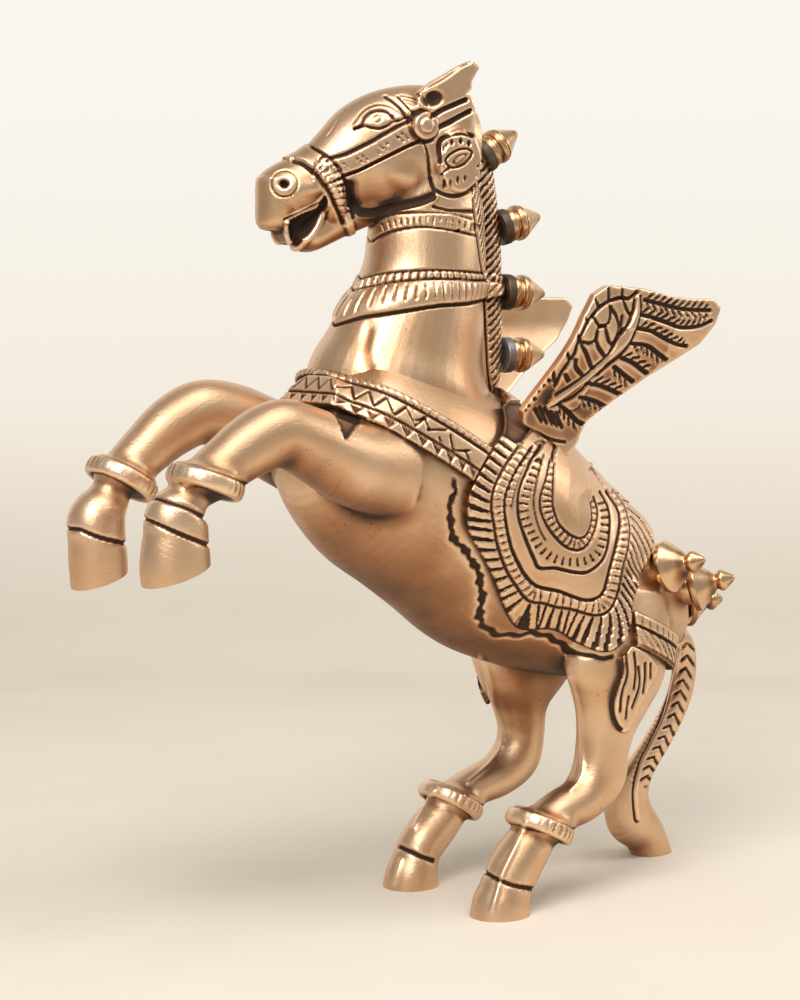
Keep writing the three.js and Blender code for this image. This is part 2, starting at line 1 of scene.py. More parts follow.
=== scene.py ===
"""A rearing winged horse in antique brass, set on two hooves and its tail.

Lengths in the rows and outlines are millimetres. The horse faces -X and its left side is -Y.
"""
import math

import bpy
import numpy as np
from mathutils import Matrix, Vector


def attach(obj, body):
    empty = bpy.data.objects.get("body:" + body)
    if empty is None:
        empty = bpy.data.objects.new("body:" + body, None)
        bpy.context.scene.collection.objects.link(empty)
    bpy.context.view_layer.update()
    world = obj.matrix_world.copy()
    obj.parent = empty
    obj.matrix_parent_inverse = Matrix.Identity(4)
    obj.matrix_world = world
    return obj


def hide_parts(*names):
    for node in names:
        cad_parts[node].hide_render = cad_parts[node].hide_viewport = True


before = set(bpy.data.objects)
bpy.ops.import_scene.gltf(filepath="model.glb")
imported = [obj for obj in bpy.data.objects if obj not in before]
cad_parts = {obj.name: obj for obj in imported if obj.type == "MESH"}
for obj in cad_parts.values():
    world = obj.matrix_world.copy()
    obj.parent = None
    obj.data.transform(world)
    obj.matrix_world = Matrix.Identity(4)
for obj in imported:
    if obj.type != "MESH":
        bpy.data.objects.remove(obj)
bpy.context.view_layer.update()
scene = bpy.context.scene

# The table: one sheet of cream paper that lies flat and curves up behind the figure.
# It takes the soft shadow of the hooves and fades into a pale wall.
MM = 0.001
ROW_SHIFT = np.array([15.7007, 0.0, 0.0])  # the row's origin, seen from the modelling frame


def new_object(name, points, quads, tris=np.zeros((0, 3), int)):
    """Mesh object from points in mm of the modelling frame and arrays of quads and triangles."""
    mesh = bpy.data.meshes.new(name)
    flat = ((np.asarray(points, float) - ROW_SHIFT) * MM).astype(np.float32)
    mesh.vertices.add(len(flat))
    mesh.vertices.foreach_set("co", flat.ravel())
    corners = np.concatenate([quads.ravel(), tris.ravel()]).astype(np.int32)
    mesh.loops.add(len(corners))
    mesh.loops.foreach_set("vertex_index", corners)
    starts = np.concatenate([4 * np.arange(len(quads)), 4 * len(quads) + 3 * np.arange(len(tris))])
    mesh.polygons.add(len(starts))
    mesh.polygons.foreach_set("loop_start", starts.astype(np.int32))
    mesh.polygons.foreach_set("use_smooth", np.arange(len(starts)) < len(quads))
    mesh.update()
    obj = bpy.data.objects.new(name, mesh)
    scene.collection.objects.link(obj)
    return obj


def grid_quads(rows, columns, around=False):
    """Faces of a grid of points stored row by row; around closes each row on itself."""
    r = np.arange(rows - 1)[:, None]
    c = np.arange(columns if around else columns - 1)[None, :]
    n = (c + 1) % columns
    a, b = r * columns + c, r * columns + n
    return np.stack([a, b, b + columns, a + columns], -1).reshape(-1, 4)


def smooth_rows(rows, steps):
    """Catmull-Rom path through rows of numbers, `steps` points in each span, ends included."""
    rows = np.asarray(rows, float)
    ends = np.concatenate([rows[:1], rows, rows[-1:]])
    a, b, c, d = (ends[k:k + len(rows) - 1, None] for k in range(4))
    t = (np.arange(steps) / steps)[None, :, None]
    path = 0.5 * (2 * b + (c - a) * t + (2 * a - 5 * b + 4 * c - d) * t ** 2
                  + (3 * b - 3 * c + d - a) * t ** 3)
    return np.concatenate([path.reshape(-1, rows.shape[1]), rows[-1:]])


sweep = smooth_rows([[900, 0], [-300, 0], [-620, 0], [-900, 90], [-1010, 360], [-1030, 1400]], 10)
across = np.linspace(-1500, 1500, 13)
ahead = np.array([-math.sin(math.radians(38)), -math.cos(math.radians(38)), 0])
aside = np.array([ahead[1], -ahead[0], 0])
paper = (sweep[:, None, :1] * ahead + across[None, :, None] * aside
         + sweep[:, None, 1:] * np.array([0, 0, 1.0]))
floor = new_object("paper_sweep", paper.reshape(-1, 3), grid_quads(len(sweep), len(across))[:, ::-1])

# Light: a large soft box from the upper front left, a wide one overhead and a weak one from the
# right, as in a product tent. The camera stands at the photographer's height and angle.


def lamp(name, toward, size, power, tint):
    """Square soft box in direction `toward` from the figure's middle, facing it."""
    data = bpy.data.lights.new(name, "AREA")
    data.shape = "SQUARE"
    data.size = size
    data.energy = power
    data.color = tint
    obj = bpy.data.objects.new(name, data)
    scene.collection.objects.link(obj)
    aim(obj, np.array(toward, float))


def aim(obj, offset, middle=np.array([-0.0157, 0, 0.14657])):
    """Puts obj at middle + offset (metres), looking at the middle with its top up."""
    back = Vector(offset).normalized()
    right = Vector((0, 0, 1)).cross(back).normalized()
    up = back.cross(right)
    place = Vector(middle + offset)
    obj.matrix_world = Matrix((
        (right.x, up.x, back.x, place.x),
        (right.y, up.y, back.y, place.y),
        (right.z, up.z, back.z, place.z),
        (0, 0, 0, 1),
    ))


lamp("key_box", (-0.75, -0.5, 0.8), 0.6, 9.0, (1.0, 0.97, 0.93))
lamp("top_box", (0.15, -0.5, 1.1), 0.8, 5.5, (1.0, 0.98, 0.95))
lamp("right_box", (0.9, -0.5, 0.45), 0.35, 1.6, (1.0, 0.96, 0.9))

camera = bpy.data.cameras.new("photo_camera")
camera.sensor_fit = "AUTO"
camera.sensor_width = 36
camera.lens = 86.4
camera_object = bpy.data.objects.new("photo_camera", camera)
scene.collection.objects.link(camera_object)
azimuth, rise = math.radians(-38), math.radians(5.25)
DISTANCE = 839.8  # mm from the lens to the middle of the picture
back = np.array([math.sin(azimuth) * math.cos(rise), -math.cos(azimuth) * math.cos(rise), math.sin(rise)])
aim(camera_object, DISTANCE * MM * back)
scene.camera = camera_object
scene.view_settings.view_transform = "Standard"


class Shade:
    """One socket of a material's node tree, so that shader maths reads like plain maths."""

    def __init__(self, tree, socket):
        self.tree, self.socket = tree, socket

    def node(self, kind, inputs, out=0, **settings):
        """Adds a node, sets its settings and its inputs (numbers, colours or Shades)."""
        made = self.tree.nodes.new(kind)
        for key, value in settings.items():
            setattr(made, key, value)
        for key, value in inputs.items():
            if isinstance(value, Shade):
                self.tree.links.new(value.socket, made.inputs[key])
            else:
                made.inputs[key].default_value = value
        return Shade(self.tree, made.outputs[out])

    def maths(self, operation, a, b=0.0):
        return self.node("ShaderNodeMath", {0: a, 1: b}, operation=operation)

    def __add__(self, other):
        return self.maths("ADD", self, other)

    def __radd__(self, other):
        return self.maths("ADD", other, self)

    def __sub__(self, other):
        return self.maths("SUBTRACT", self, other)

    def __rsub__(self, other):
        return self.maths("SUBTRACT", other, self)

    def __mul__(self, other):
        return self.maths("MULTIPLY", self, other)

    def ramp(self, low, high):
        """0 below `low`, 1 above `high`, smooth between."""
        return self.node("ShaderNodeMapRange", {0: self, 1: low, 2: high, 3: 0.0, 4: 1.0},
                         interpolation_type="SMOOTHSTEP")

    def tint(self, under, over):
        """Colour `under` where this is 0 and `over` where it is 1."""
        return self.node("ShaderNodeMix", {0: self, 6: under, 7: over}, out=2, data_type="RGBA")


def material(name):
    """New material; gives it with its Principled shader and a Shade of object coordinates."""
    made = bpy.data.materials.new(name)
    made.use_nodes = True
    tree = made.node_tree
    shader = next(n for n in tree.nodes if n.type == "BSDF_PRINCIPLED")
    place = tree.nodes.new("ShaderNodeTexCoord")
    return made, shader, Shade(tree, place.outputs["Object"])


paper_look, shader, place = material("cream_paper")
fibre = place.node("ShaderNodeTexNoise", {"Vector": place, "Scale": 9.0, "Detail": 4.0})
shader.inputs["Roughness"].default_value = 0.9
paper_colour = fibre.ramp(0.3, 0.7).tint((0.86, 0.80, 0.70, 1), (0.89, 0.83, 0.74, 1))
place.tree.links.new(paper_colour.socket, shader.inputs["Base Color"])
rising = place.node("ShaderNodeSeparateXYZ", {"Vector": place}, out=2)
RAYS = ("Is Camera Ray", "Is Glossy Ray", "Is Transmission Ray")
camera_ray, glossy_ray, clear_ray = (place.node("ShaderNodeLightPath", {}, out=ray) for ray in RAYS)
faded = rising.ramp(-0.02, 0.14) * (camera_ray + glossy_ray + clear_ray)
# The glow that the camera and reflections see is painted darker towards the floor, as shade on the paper.
wall = rising.ramp(0.0, 0.42).tint((0.89, 0.81, 0.69, 1), (0.955, 0.93, 0.872, 1))
glow = place.node("ShaderNodeEmission", {"Color": wall, "Strength": 1.0})
mix = place.tree.nodes.new("ShaderNodeMixShader")
place.tree.links.new(faded.socket, mix.inputs[0])
place.tree.links.new(shader.outputs[0], mix.inputs[1])
place.tree.links.new(glow.socket, mix.inputs[2])
out = next(node for node in place.tree.nodes if node.type == "OUTPUT_MATERIAL")
place.tree.links.new(mix.outputs[0], out.inputs["Surface"])
floor.data.materials.append(paper_look)

# The tent's white walls light the brass from all sides; the camera sees them as cream.
world = bpy.data.worlds.new("tent")
scene.world = world
world.use_nodes = True
sky = world.node_tree.nodes["Background"]
sky.inputs["Color"].default_value = (0.95, 0.91, 0.85, 1)
sky.inputs["Strength"].default_value = 0.4

# Brass: cast and filed bright on its ridges, with brown-black patina left in the hollows.
# Each piece carries its hollowness as the vertex number `hollow`, with painted shade added on undersides and
# in some shaded places; fine grain comes from noise.


def brass(name, base, deep, rough, grain, stretch):
    """Antique brass: `base` and `deep` colours, roughness, strength and stretch of the grain.

    Between the bright base and the deep colour lies the red brown of metal nobody rubs in the hollows; where
    the vertex number `hollow` carries painted shade, these darker colours paint shade.
    """
    def shade(times):
        """The base colour with each channel multiplied, at most 1."""
        return tuple(np.minimum(np.multiply(base, times), 1)) + (1,)

    made, shader, place = material(name)
    tree = place.tree
    hollow = place.node("ShaderNodeAttribute", {}, out=2, attribute_name="hollow")
    cloud = place.node("ShaderNodeTexNoise", {"Vector": place, "Scale": 38.0, "Detail": 5.0})
    speck = place.node("ShaderNodeTexNoise", {"Vector": place, "Scale": 900.0, "Detail": 3.0})
    long = place.node("ShaderNodeMapping", {"Vector": place, "Scale": stretch})
    brush = place.node("ShaderNodeTexNoise", {"Vector": long, "Scale": 520.0, "Detail": 4.0,
                                              "Roughness": 0.7})
    pits = speck.ramp(0.62, 0.74) * cloud.ramp(0.5, 0.66)
    # dark holds the patina of the hollows and the painted shade carried in the vertex numbers
    dark = hollow + (cloud - 0.5) * 0.35 + pits * 0.35
    patina_and_shade = dark.ramp(0.3, 0.75)
    unrubbed_and_shaded = dark.ramp(0.02, 0.42)
    bright = (hollow * -1.0 + (cloud - 0.5) * 0.3).ramp(0.1, 0.5)
    warm = cloud.ramp(0.35, 0.65).tint(shade((1, 1, 1)), shade((0.9, 0.84, 0.76)))
    lit = bright.tint(warm, shade((1.16, 1.22, 1.32)))
    brown = unrubbed_and_shaded.tint(lit, shade((0.5, 0.36, 0.28)))
    colour = patina_and_shade.tint(brown, deep + (1,))
    roughness = rough + (brush - 0.5) * 0.16 + patina_and_shade * 0.3 - bright * 0.05
    relief = brush * 0.5 + speck * 0.25 + cloud * 0.6
    bump = place.node("ShaderNodeBump", {"Strength": grain, "Distance": 0.0004, "Height": relief})
    tree.links.new(colour.socket, shader.inputs["Base Color"])
    tree.links.new(roughness.socket, shader.inputs["Roughness"])
    tree.links.new((1 - patina_and_shade * 0.55).socket, shader.inputs["Metallic"])
    tree.links.new(bump.socket, shader.inputs["Normal"])
    return made


# The second colour is the deep patina and also the deepest painted shade.
BRIGHT, PATINA_AND_SHADE_COLOUR = (0.8, 0.545, 0.35), (0.045, 0.022, 0.012)
cast_brass = brass("cast_brass", BRIGHT, PATINA_AND_SHADE_COLOUR, 0.38, 0.6, (1.0, 1.0, 3.0))

# The horse's flesh: hollow body castings and solid limbs under everything else. Each is a row of
# ellipses along a curved path; a skin is drawn round them and filled where they meet, as in wax.
BARREL = [
    [-40, 0, 178, 12, 13], [-31, 0, 172, 28, 25], [-12, 0, 162, 38, 32], [9, 0, 151.5, 41, 34],
    [27, 0, 141, 42.5, 34.5], [42, 0, 130, 42.5, 34], [57, 0, 121.5, 40, 33.5], [73, 0, 114, 37, 33],
    [89, 0, 107, 33, 31], [102, 0, 101.5, 28.5, 28], [113, 0, 97, 23, 24.5], [122, 0, 93.5, 16, 19.5],
    [129, 0, 91, 8, 11],
]
FORE_Y, HIND_Y = 24, 26  # mm from the median plane to the middle of the legs
LEGS = {
    "left_foreleg": [
        [-16, 0, 158, 16, 9], [-38, 0, 162, 14, 11], [-56, 0, 170, 12, 11], [-68, 0, 174, 11, 10.5],
        [-79, 0, 170.5, 10.3, 9.8], [-89, 0, 165, 9, 9], [-97, 0, 160, 8, 8.4],
        [-102.6, 0, 157, 6.6, 7], [-104.4, 0, 153.8, 6.6, 7], [-106.6, 0, 151.2, 9.4, 8.9],
        [-108, 0, 148, 10.6, 9.6], [-108.1, 0, 144, 10.5, 9.6], [-108.4, 0, 139, 11.2, 10],
        [-108.5, 0, 132, 11.6, 10.4], [-107.5, 0, 122, 11, 10],
    ],
    "right_foreleg": [
        [-18, 0, 160, 16, 9], [-38, 0, 168, 14, 11], [-54, 0, 176, 12, 11], [-67, 0, 178.5, 11, 10.5],
        [-78, 0, 174.5, 10.3, 9.8], [-88, 0, 167.5, 9, 9], [-96, 0, 161, 8, 8.4],
        [-101.5, 0, 155.8, 6.8, 7.2], [-103.8, 0, 151.2, 7, 7.2], [-106.6, 0, 147.4, 9, 8.8],
        [-108.6, 0, 143.2, 9.9, 9.4], [-108.4, 0, 138.5, 9.6, 9.5], [-108, 0, 131, 9.8, 9.8],
        [-107.2, 0, 117, 9.4, 9.6],
    ],
    "left_hind_leg": [
        [84, 0, 112, 17, 9], [82, 0, 98, 22, 12], [79, 0, 81, 22, 12], [77, 0, 71, 16.5, 11.5],
        [75, 0, 63, 12, 10.5], [73, 0, 54, 9.8, 9.8], [71, 0, 44, 10.6, 9.2], [63, 0, 36.5, 8.6, 8.6],
        [52, 0, 33, 7.6, 8.2], [42, 0, 27.5, 8, 8.4], [35.4, 0, 21, 9, 8.8], [30.6, 0, 15.2, 9.5, 9.1],
        [28, 0, 11, 9.2, 9], [26.4, 0, 7.4, 9.6, 9.4], [25, 0, 3, 10.8, 10.1], [24, 0, -5, 11.4, 10.4],
    ],
    "right_hind_leg": [
        [86, 0, 112, 17, 9], [83, 0, 98, 24.5, 12], [80.5, 0, 81, 25, 12], [79, 0, 70, 18.5, 11.5],
        [78.5, 0, 61, 10.4, 10.5], [79, 0, 51, 8.6, 9.4], [76, 0, 42, 9.6, 9.2], [67, 0, 36, 8.2, 8.6],
        [55, 0, 33, 7.4, 8.2], [44, 0, 27.5, 8, 8.4], [37, 0, 21, 8.4, 8.5], [31.2, 0, 15.8, 8.6, 8.6],
        [28.6, 0, 12, 8.3, 8.5], [27.2, 0, 8.4, 8.8, 9], [25.8, 0, 3.5, 10, 9.8], [24.6, 0, -5, 10.6, 10.1],
    ],
}


def loft(rows, around=48, grow=0.0, y=0.0, turn=0.0):
    """Closed form of ellipses square to a path in the side plane: (points, quads, triangles).

    A ring point is centre + deep (A + grow) cos u + y (B + grow) sin u, where deep is the path's
    tangent turned a quarter round. turn swings the whole form about the neck's upright axis.
    """
    path = smooth_rows(rows, 6)
    ahead = np.gradient(path[:, [0, 2]], axis=0)
    ahead /= np.linalg.norm(ahead, axis=1)[:, None]
    centre = path[:, :3] + [0, y, 0]
    centre[0, [0, 2]] -= ahead[0] * grow
    centre[-1, [0, 2]] += ahead[-1] * grow
    deep = np.stack([ahead[:, 1], 0 * ahead[:, 0], -ahead[:, 0]], -1)
    u = np.arange(around) * 2 * math.pi / around
    up, out = ((path[:, k, None] + grow) * wave for k, wave in ((3, np.cos(u)), (4, np.sin(u))))
    rings = centre[:, None] + deep[:, None] * up[..., None] + np.array([0, 1, 0]) * out[..., None]
    points = np.concatenate([rings.reshape(-1, 3), centre[:1], centre[-1:]])
    s = np.arange(around)
    n, last = (s + 1) % around, (len(path) - 1) * around
    tips = np.concatenate([np.stack([0 * s + len(points) - 2, n, s], -1),
                           np.stack([0 * s + len(points) - 1, last + s, last + n], -1)])
    return turned_by(points, turn), grid_quads(len(path), around, around=True), tips


NECK_TURN = -12  # degrees from the side plane to the neck's own


def turned_by(points, degrees, pivot=np.array([30.0, 0.0])):
    """Points swung by an angle about the upright axis through the neck's pivot."""
    a = math.radians(degrees)
    x, y = points[..., 0] - pivot[0], points[..., 1] - pivot[1]
    return np.stack([x * math.cos(a) - y * math.sin(a) + pivot[0],
                     x * math.sin(a) + y * math.cos(a) + pivot[1], points[..., 2]], -1)


def fused(forms, cell, fill=0, soften=2):
    """One skin round several closed forms, with cells of that size in mm: (points, quads).

    fill rounds raise only hollow places, which makes fillets where forms meet; soften rounds
    relax everything.
    """
    mesh = bpy.data.meshes.new("wax")
    start, points, faces = 0, [], []
    for form_points, quads, tris in forms:
        points.append(form_points)
        faces += (quads + start).tolist() + (tris + start).tolist()
        start += len(form_points)
    mesh.from_pydata(np.concatenate(points).tolist(), [], faces)
    obj = bpy.data.objects.new("wax", mesh)
    scene.collection.objects.link(obj)
    skin = obj.modifiers.new("skin", "REMESH")
    skin.mode = "VOXEL"
    skin.voxel_size = cell
    out = obj.evaluated_get(bpy.context.evaluated_depsgraph_get()).data
    points = np.empty(len(out.vertices) * 3, np.float32)
    out.vertices.foreach_get("co", points)
    corners = np.empty(len(out.loops), np.int32)
    out.loops.foreach_get("vertex_index", corners)
    bpy.data.objects.remove(obj)
    bpy.data.meshes.remove(mesh)
    points, quads = points.reshape(-1, 3).astype(float), corners.reshape(-1, 4)
    for k in range(fill):
        if k % 8 == 0:
            normal = normals(points, quads)
        away = around_mean(points, quads) - points
        points = points + normal * np.maximum((away * normal).sum(1), 0)[:, None]
    for _ in range(soften):
        points = points + 0.6 * (around_mean(points, quads) - points)
    return points, quads


def around_mean(values, quads):
    """Mean of each point's values over its neighbours along the edges of the quads."""
    a = quads.ravel()
    b = np.roll(quads, -1, axis=1).ravel()
    c = np.roll(quads, 1, axis=1).ravel()
    many = np.maximum(np.bincount(a, minlength=len(values)) * 2, 1)
    flat = values.reshape(len(values), -1)
    total = [np.bincount(a, flat[b, k] + flat[c, k], minlength=len(values)) for k in range(flat.shape[1])]
    return (np.stack(total, -1) / many[:, None]).reshape(values.shape)


def normals(points, quads):
    """Unit normals at the points, from the cross product of each quad's diagonals."""
    p = points[quads]
    face = np.cross(p[:, 2] - p[:, 0], p[:, 3] - p[:, 1])
    total = np.stack([np.bincount(quads.ravel(), np.repeat(face[:, k], 4), minlength=len(points))
                      for k in range(3)], -1)
    return total / np.maximum(np.linalg.norm(total, axis=1), 1e-9)[:, None]


def hollowness(points, quads, cell):
    """How hollow (+) or proud (-) the surface is at each point, at two scales, about -1 to 1."""
    normal = normals(points, quads)
    wide = points
    for _ in range(18):
        wide = around_mean(wide, quads)
    fine = ((around_mean(points, quads) - points) * normal).sum(1) / cell
    broad = ((wide - points) * normal).sum(1) / cell
    value = 2.2 * fine + 0.55 * broad
    return np.clip(around_mean(value, quads), -1.5, 1.5)


UNDERSIDE_SHADE = 0.58  # painted shade on faces that look down, darker the more they face the floor


def piece(name, points, quads, look, node, tris, hollow, facing=None):
    """A finished piece: mesh, vertex numbers of hollowness and painted shade, material, body and CAD node.
    """
    obj = new_object(name, points, quads, tris)
    # faces that look down get painted shade, added to the vertex numbers of the dark colour
    under = -(normals(points, quads) if facing is None else facing)[:, 2]
    hollow = hollow + UNDERSIDE_SHADE * np.clip((under + 0.05) / 0.85, 0, 1)
    if facing is not None:
        obj.data.normals_split_custom_set_from_vertices(facing.tolist())
    obj.data.attributes.new("hollow", "FLOAT", "POINT").data.foreach_set("value", hollow.astype(np.float32))
    obj.data.materials.append(look)
    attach(obj, "root")
    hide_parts(node)
    return obj


def patch(points, quads, field, apex, snap):
    """The quads where field > 0 as a closed form: (points, quads, tris, number of each old point).

    Its edge is moved by snap onto the outline and joined to an inner point, the nearest apex,
    which has the number -1.
    """
    quads = quads[field[quads].mean(1) > 0]
    used, quads = np.unique(quads, return_inverse=True)
    quads = quads.reshape(-1, 4)
    points = points[used].copy()
    a = quads.ravel().astype(np.int64)
    b = np.roll(quads, -1, axis=1).ravel().astype(np.int64)
    lone = ~np.isin(a * len(points) + b, b * len(points) + a)
    a, b = a[lone], b[lone]
    rim = np.unique(a)
    points[rim] = snap(points[rim])
    apex = np.atleast_2d(np.asarray(apex, float))
    which = np.argmin(np.linalg.norm(points[a][:, None] - apex[None], axis=2), axis=1)
    tris = np.stack([b, a, len(points) + which], -1)
    return np.concatenate([points, apex]), quads, tris, np.append(used, np.full(len(apex), -1))


FAR = 900.0  # mm; only points beyond the reach of a track are as far from it


def track(at, line, steps=6, reach=30.0, closed=False):
    """Arc length along a smooth line and signed distance from it, for points in a plane: (s, d).

    The nearest point of the line counts; d > 0 on its left as it runs. Beyond `reach` d stays big.
    """
    line = np.asarray(line, float)
    if closed:
        line = np.concatenate([line, line[:1]])
    path = smooth_rows(line, steps)
    s, d = np.zeros(len(at)), np.full(len(at), 1e3)
    near = np.flatnonzero(((at > path.min(0) - reach) & (at < path.max(0) + reach)).all(1))
    here, best = at[near], np.full(len(near), 1e6)
    length = np.concatenate([[0], np.cumsum(np.linalg.norm(np.diff(path, axis=0), axis=1))])
    sn, dn = s[near], d[near]
    for k in range(len(path) - 1):
        along = path[k + 1] - path[k]
        size = np.hypot(*along)
        if size < 1e-9:
            continue
        along = along / size
        off = here - path[k]
        t = off @ along
        over = t - np.clip(t, 0, size)
        side = along[0] * off[:, 1] - along[1] * off[:, 0]
        far = side * side + over * over
        closer = far < best
        best[closer] = far[closer]
        sn[closer] = length[k] + np.clip(t, 0, size)[closer]
        dn[closer] = (np.sqrt(far) * np.where(side < 0, -1, 1))[closer]
    s[near], d[near] = sn, dn
    return s, d


def line_cut(d, width):
    """A flat-bottomed cut of that width about d = 0: 1 in the cut, 0 beside it."""
    return np.exp(-(1.7 * d / width) ** 4)


def engrave(seen, line, width, depth, reach=14):
    """Depth in mm of a cut of that width in pixels along a line in the camera's view."""
    return depth * line_cut(track(seen, line, reach=reach)[1], width)


def comb(s, pitch, share=0.35):
    """Regular cuts along s: 1 in the middle of each, 0 between; share is the part that is cut."""
    edge = np.cos(math.pi * share)
    return np.clip((np.cos(2 * math.pi * s / pitch) - edge) / (0.5 * (1 - edge)), 0, 1)


def within(d, low, high, soft):
    """1 where low < d < high, falling off over `soft`."""
    return np.clip((d - low) / soft, 0, 1) * np.clip((high - d) / soft, 0, 1)


PICTURE_MIDDLE = np.array([0, 0, 146.566])  # mm, in the modelling frame
FOCAL = 2400  # the lens's focal length in pixels of the 800 by 1000 picture


def sight(points):
    """Where points are seen by the camera, in 1/800 of the picture's width: (right, up), up < 0."""
    eye = PICTURE_MIDDLE + DISTANCE * back
    right = np.array([math.cos(azimuth), math.sin(azimuth), 0])
    up = np.cross(back, right)
    off = points - eye
    depth = -off @ back
    return np.stack([400 + FOCAL * (off @ right) / depth, FOCAL * (off @ up) / depth - 500], -1)


def crop(points, left=0, top=0, scale=1):
    """Outline points read off an enlarged view, as (right, down), in the units of `sight`."""
    return np.asarray(points, float) / scale * [1, -1] + [left, -top]


def mirrored(points):
    """The same places on the horse's left side."""
    return points * [1, 0, 1] - np.abs(points * [0, 1, 0])


def plane_distance(points, at, slope):
    """Height above a plane that is level across the horse and slopes fore and aft, in mm."""
    a = math.radians(slope)
    return (points[:, 2] - at[1]) * math.cos(a) - (points[:, 0] - at[0]) * math.sin(a)


def turned(profile, foot, direction, around=48, turn=0.0):
    """Lathe form: rows of distance along the axis and radius, from a foot point on the axis."""
    profile = np.asarray(profile, float)
    axis = np.asarray(direction, float) / np.linalg.norm(direction)
    side = np.cross(axis, [0, 1, 0] if abs(axis[1]) < 0.9 else [1, 0, 0])
    side /= np.linalg.norm(side)
    other = np.cross(axis, side)
    foot = np.asarray(foot, float)
    u = np.arange(around)[None, :, None] * 2 * math.pi / around
    rings = (foot + profile[:, None, :1] * axis
             + profile[:, 1, None, None] * (np.cos(u) * side + np.sin(u) * other))
    ends = [[foot + profile[0, 0] * axis], [foot + profile[-1, 0] * axis]]
    points = np.concatenate([rings.reshape(-1, 3)] + ends)
    s = np.arange(around)
    n, last = (s + 1) % around, (len(profile) - 1) * around
    tips = np.concatenate([np.stack([0 * s + len(points) - 2, n, s], -1),
                           np.stack([0 * s + len(points) - 1, last + s, last + n], -1)])
    return turned_by(points, turn), grid_quads(len(profile), around, around=True), tips


CUFF = [[-3.8, 8], [-3.6, 11], [-2.6, 12.3], [-0.6, 12.9], [1.6, 12.9], [3.0, 12.2], [3.3, 11],
        [1.8, 9.6], [1.5, 6]]
CUFF_RADIUS, CUFF_TICKS = 12.5, 30
CUFF_AT = {
    "left_foreleg": ([-97, -FORE_Y, 159.5], 69), "right_foreleg": ([-98.5, FORE_Y, 157.5], 59),
    "left_hind_leg": ([43, -HIND_Y, 29.5], 63), "right_hind_leg": ([44.5, HIND_Y, 29.5], 58),
}
SEAM = [
    (-30, 235), (-12, 190), (-2.6, 156), (-3.4, 149.3), (-2.9, 142.7), (-1.3, 137.2), (2.4, 133),
    (7.9, 128), (12.1, 122.3), (15.4, 115.8), (17.7, 108.5), (22, 100), (30, 88), (42, 74), (60, 60),
]
UNDER_CLOTH = [
    (20, 104), (24, 100.5), (29, 98.4), (35.5, 98), (42, 98.2), (50, 95.5), (56, 92), (60.5, 89.3),
    (68, 88.6),
]
CELL = 0.71  # mm between the points of the flesh
forms = [loft(BARREL, around=72)]
for name, rows in LEGS.items():
    (x, y, z), drop = CUFF_AT[name]
    forms.append(loft(rows, y=y))
    down = [-math.cos(math.radians(drop)), 0, -math.sin(math.radians(drop))]
    forms.append(turned(CUFF, [x, y, z], down))
flesh, flesh_quads = fused(forms, CELL, fill=60, soften=3)

# Marks on the flesh, as lines in the camera's view: cuts round the cuffs, the groove over each hoof,
# ridges on the shins, the rough seam between the two hollow body castings and the crack under the
# cloth. Then the flesh is parted into its castings, which are brazed together at these planes.
outward = normals(flesh, flesh_quads)
seen = sight(flesh)
depth = np.zeros(len(flesh))
HOOF_LINES = {
    "left_foreleg": [[(140, 517), (154, 523), (163, 527), (177, 533), (192, 539), (212, 546)],
                     [(148, 499), (156, 498), (172, 503), (192, 510), (207, 519), (212, 524)]],
    "right_foreleg": [[(62, 528), (79, 530), (89, 534), (104, 539), (128, 544)]],
    "left_hind_leg": [[(483, 871), (499, 880), (515, 886), (531, 889)]],
    "right_hind_leg": [[(400, 847), (412, 852), (420, 856), (433, 861)]],
}
FORE_CUT, HIND_CUT = -50, 74  # the planes x and z in mm where the legs are brazed on
fore, hind, left = flesh[:, 0] < FORE_CUT, flesh[:, 2] < HIND_CUT, flesh[:, 1] < 0
which = {
    "left_foreleg": fore & left, "right_foreleg": fore & ~left,
    "left_hind_leg": hind & left, "right_hind_leg": hind & ~left,
}
for name, lines in HOOF_LINES.items():
    for line in lines:
        depth -= np.where(which[name], engrave(seen, crop(line), 3.4, 0.9, reach=12), 0)
    (x, y, z), drop = CUFF_AT[name]
    off = flesh - [x, y, z]
    down = np.array([-math.cos(math.radians(drop)), 0, -math.sin(math.radians(drop))])
    along = off @ down
    radial = np.linalg.norm(off - along[:, None] * down, axis=1)
    angle = np.arctan2(off[:, 1], off @ np.cross(down, [0, 1, 0]))
    ring = which[name] & (radial > 9.4) & (radial < 16)
    pitch = CUFF_RADIUS * 2 * math.pi / CUFF_TICKS
    ticks = comb(angle * CUFF_RADIUS, pitch, 0.3) * within(along, -2.6, 2.2, 0.6)
    worn = np.clip(0.5 + 0.9 * np.sin(2 * angle + x * 0.1), 0.1, 1)
    depth -= np.where(ring, 0.6 * ticks * worn + 0.5 * line_cut(along + 3.0, 0.9), 0)
    pastern = which[name] & (radial < 11)
    depth -= np.where(pastern, 0.25 * within(along, 3.0, 7.5, 2), 0)
seam_s, seam_d = track(flesh[:, [0, 2]], SEAM, reach=20)
wander = 0.3 * np.sin(seam_s * 0.55) + 0.25 * np.sin(seam_s * 1.7)
seam_width = 1.5 + 0.6 * np.sin(seam_s * 0.9 + 1)
depth -= 0.9 * line_cut(seam_d + wander, seam_width) * within(flesh[:, 2], 101, 158, 5)
crack_s, crack_d = track(flesh[:, [0, 2]], UNDER_CLOTH, reach=20)
depth -= 0.7 * line_cut(crack_d + 0.4 * np.sin(crack_s * 0.8), 1.5) * within(crack_s, 0, 60, 5)
SLOT = [(318, 400), (338, 400), (352, 409), (362, 419), (349, 441), (336, 432), (324, 420), (317, 410)]
s, d = track(seen, crop(SLOT), reach=30, closed=True)
slot_cut = np.clip(-d / 4, 0, 1) * (np.abs(d) < FAR) * left * ~fore
depth -= 0.8 * slot_cut
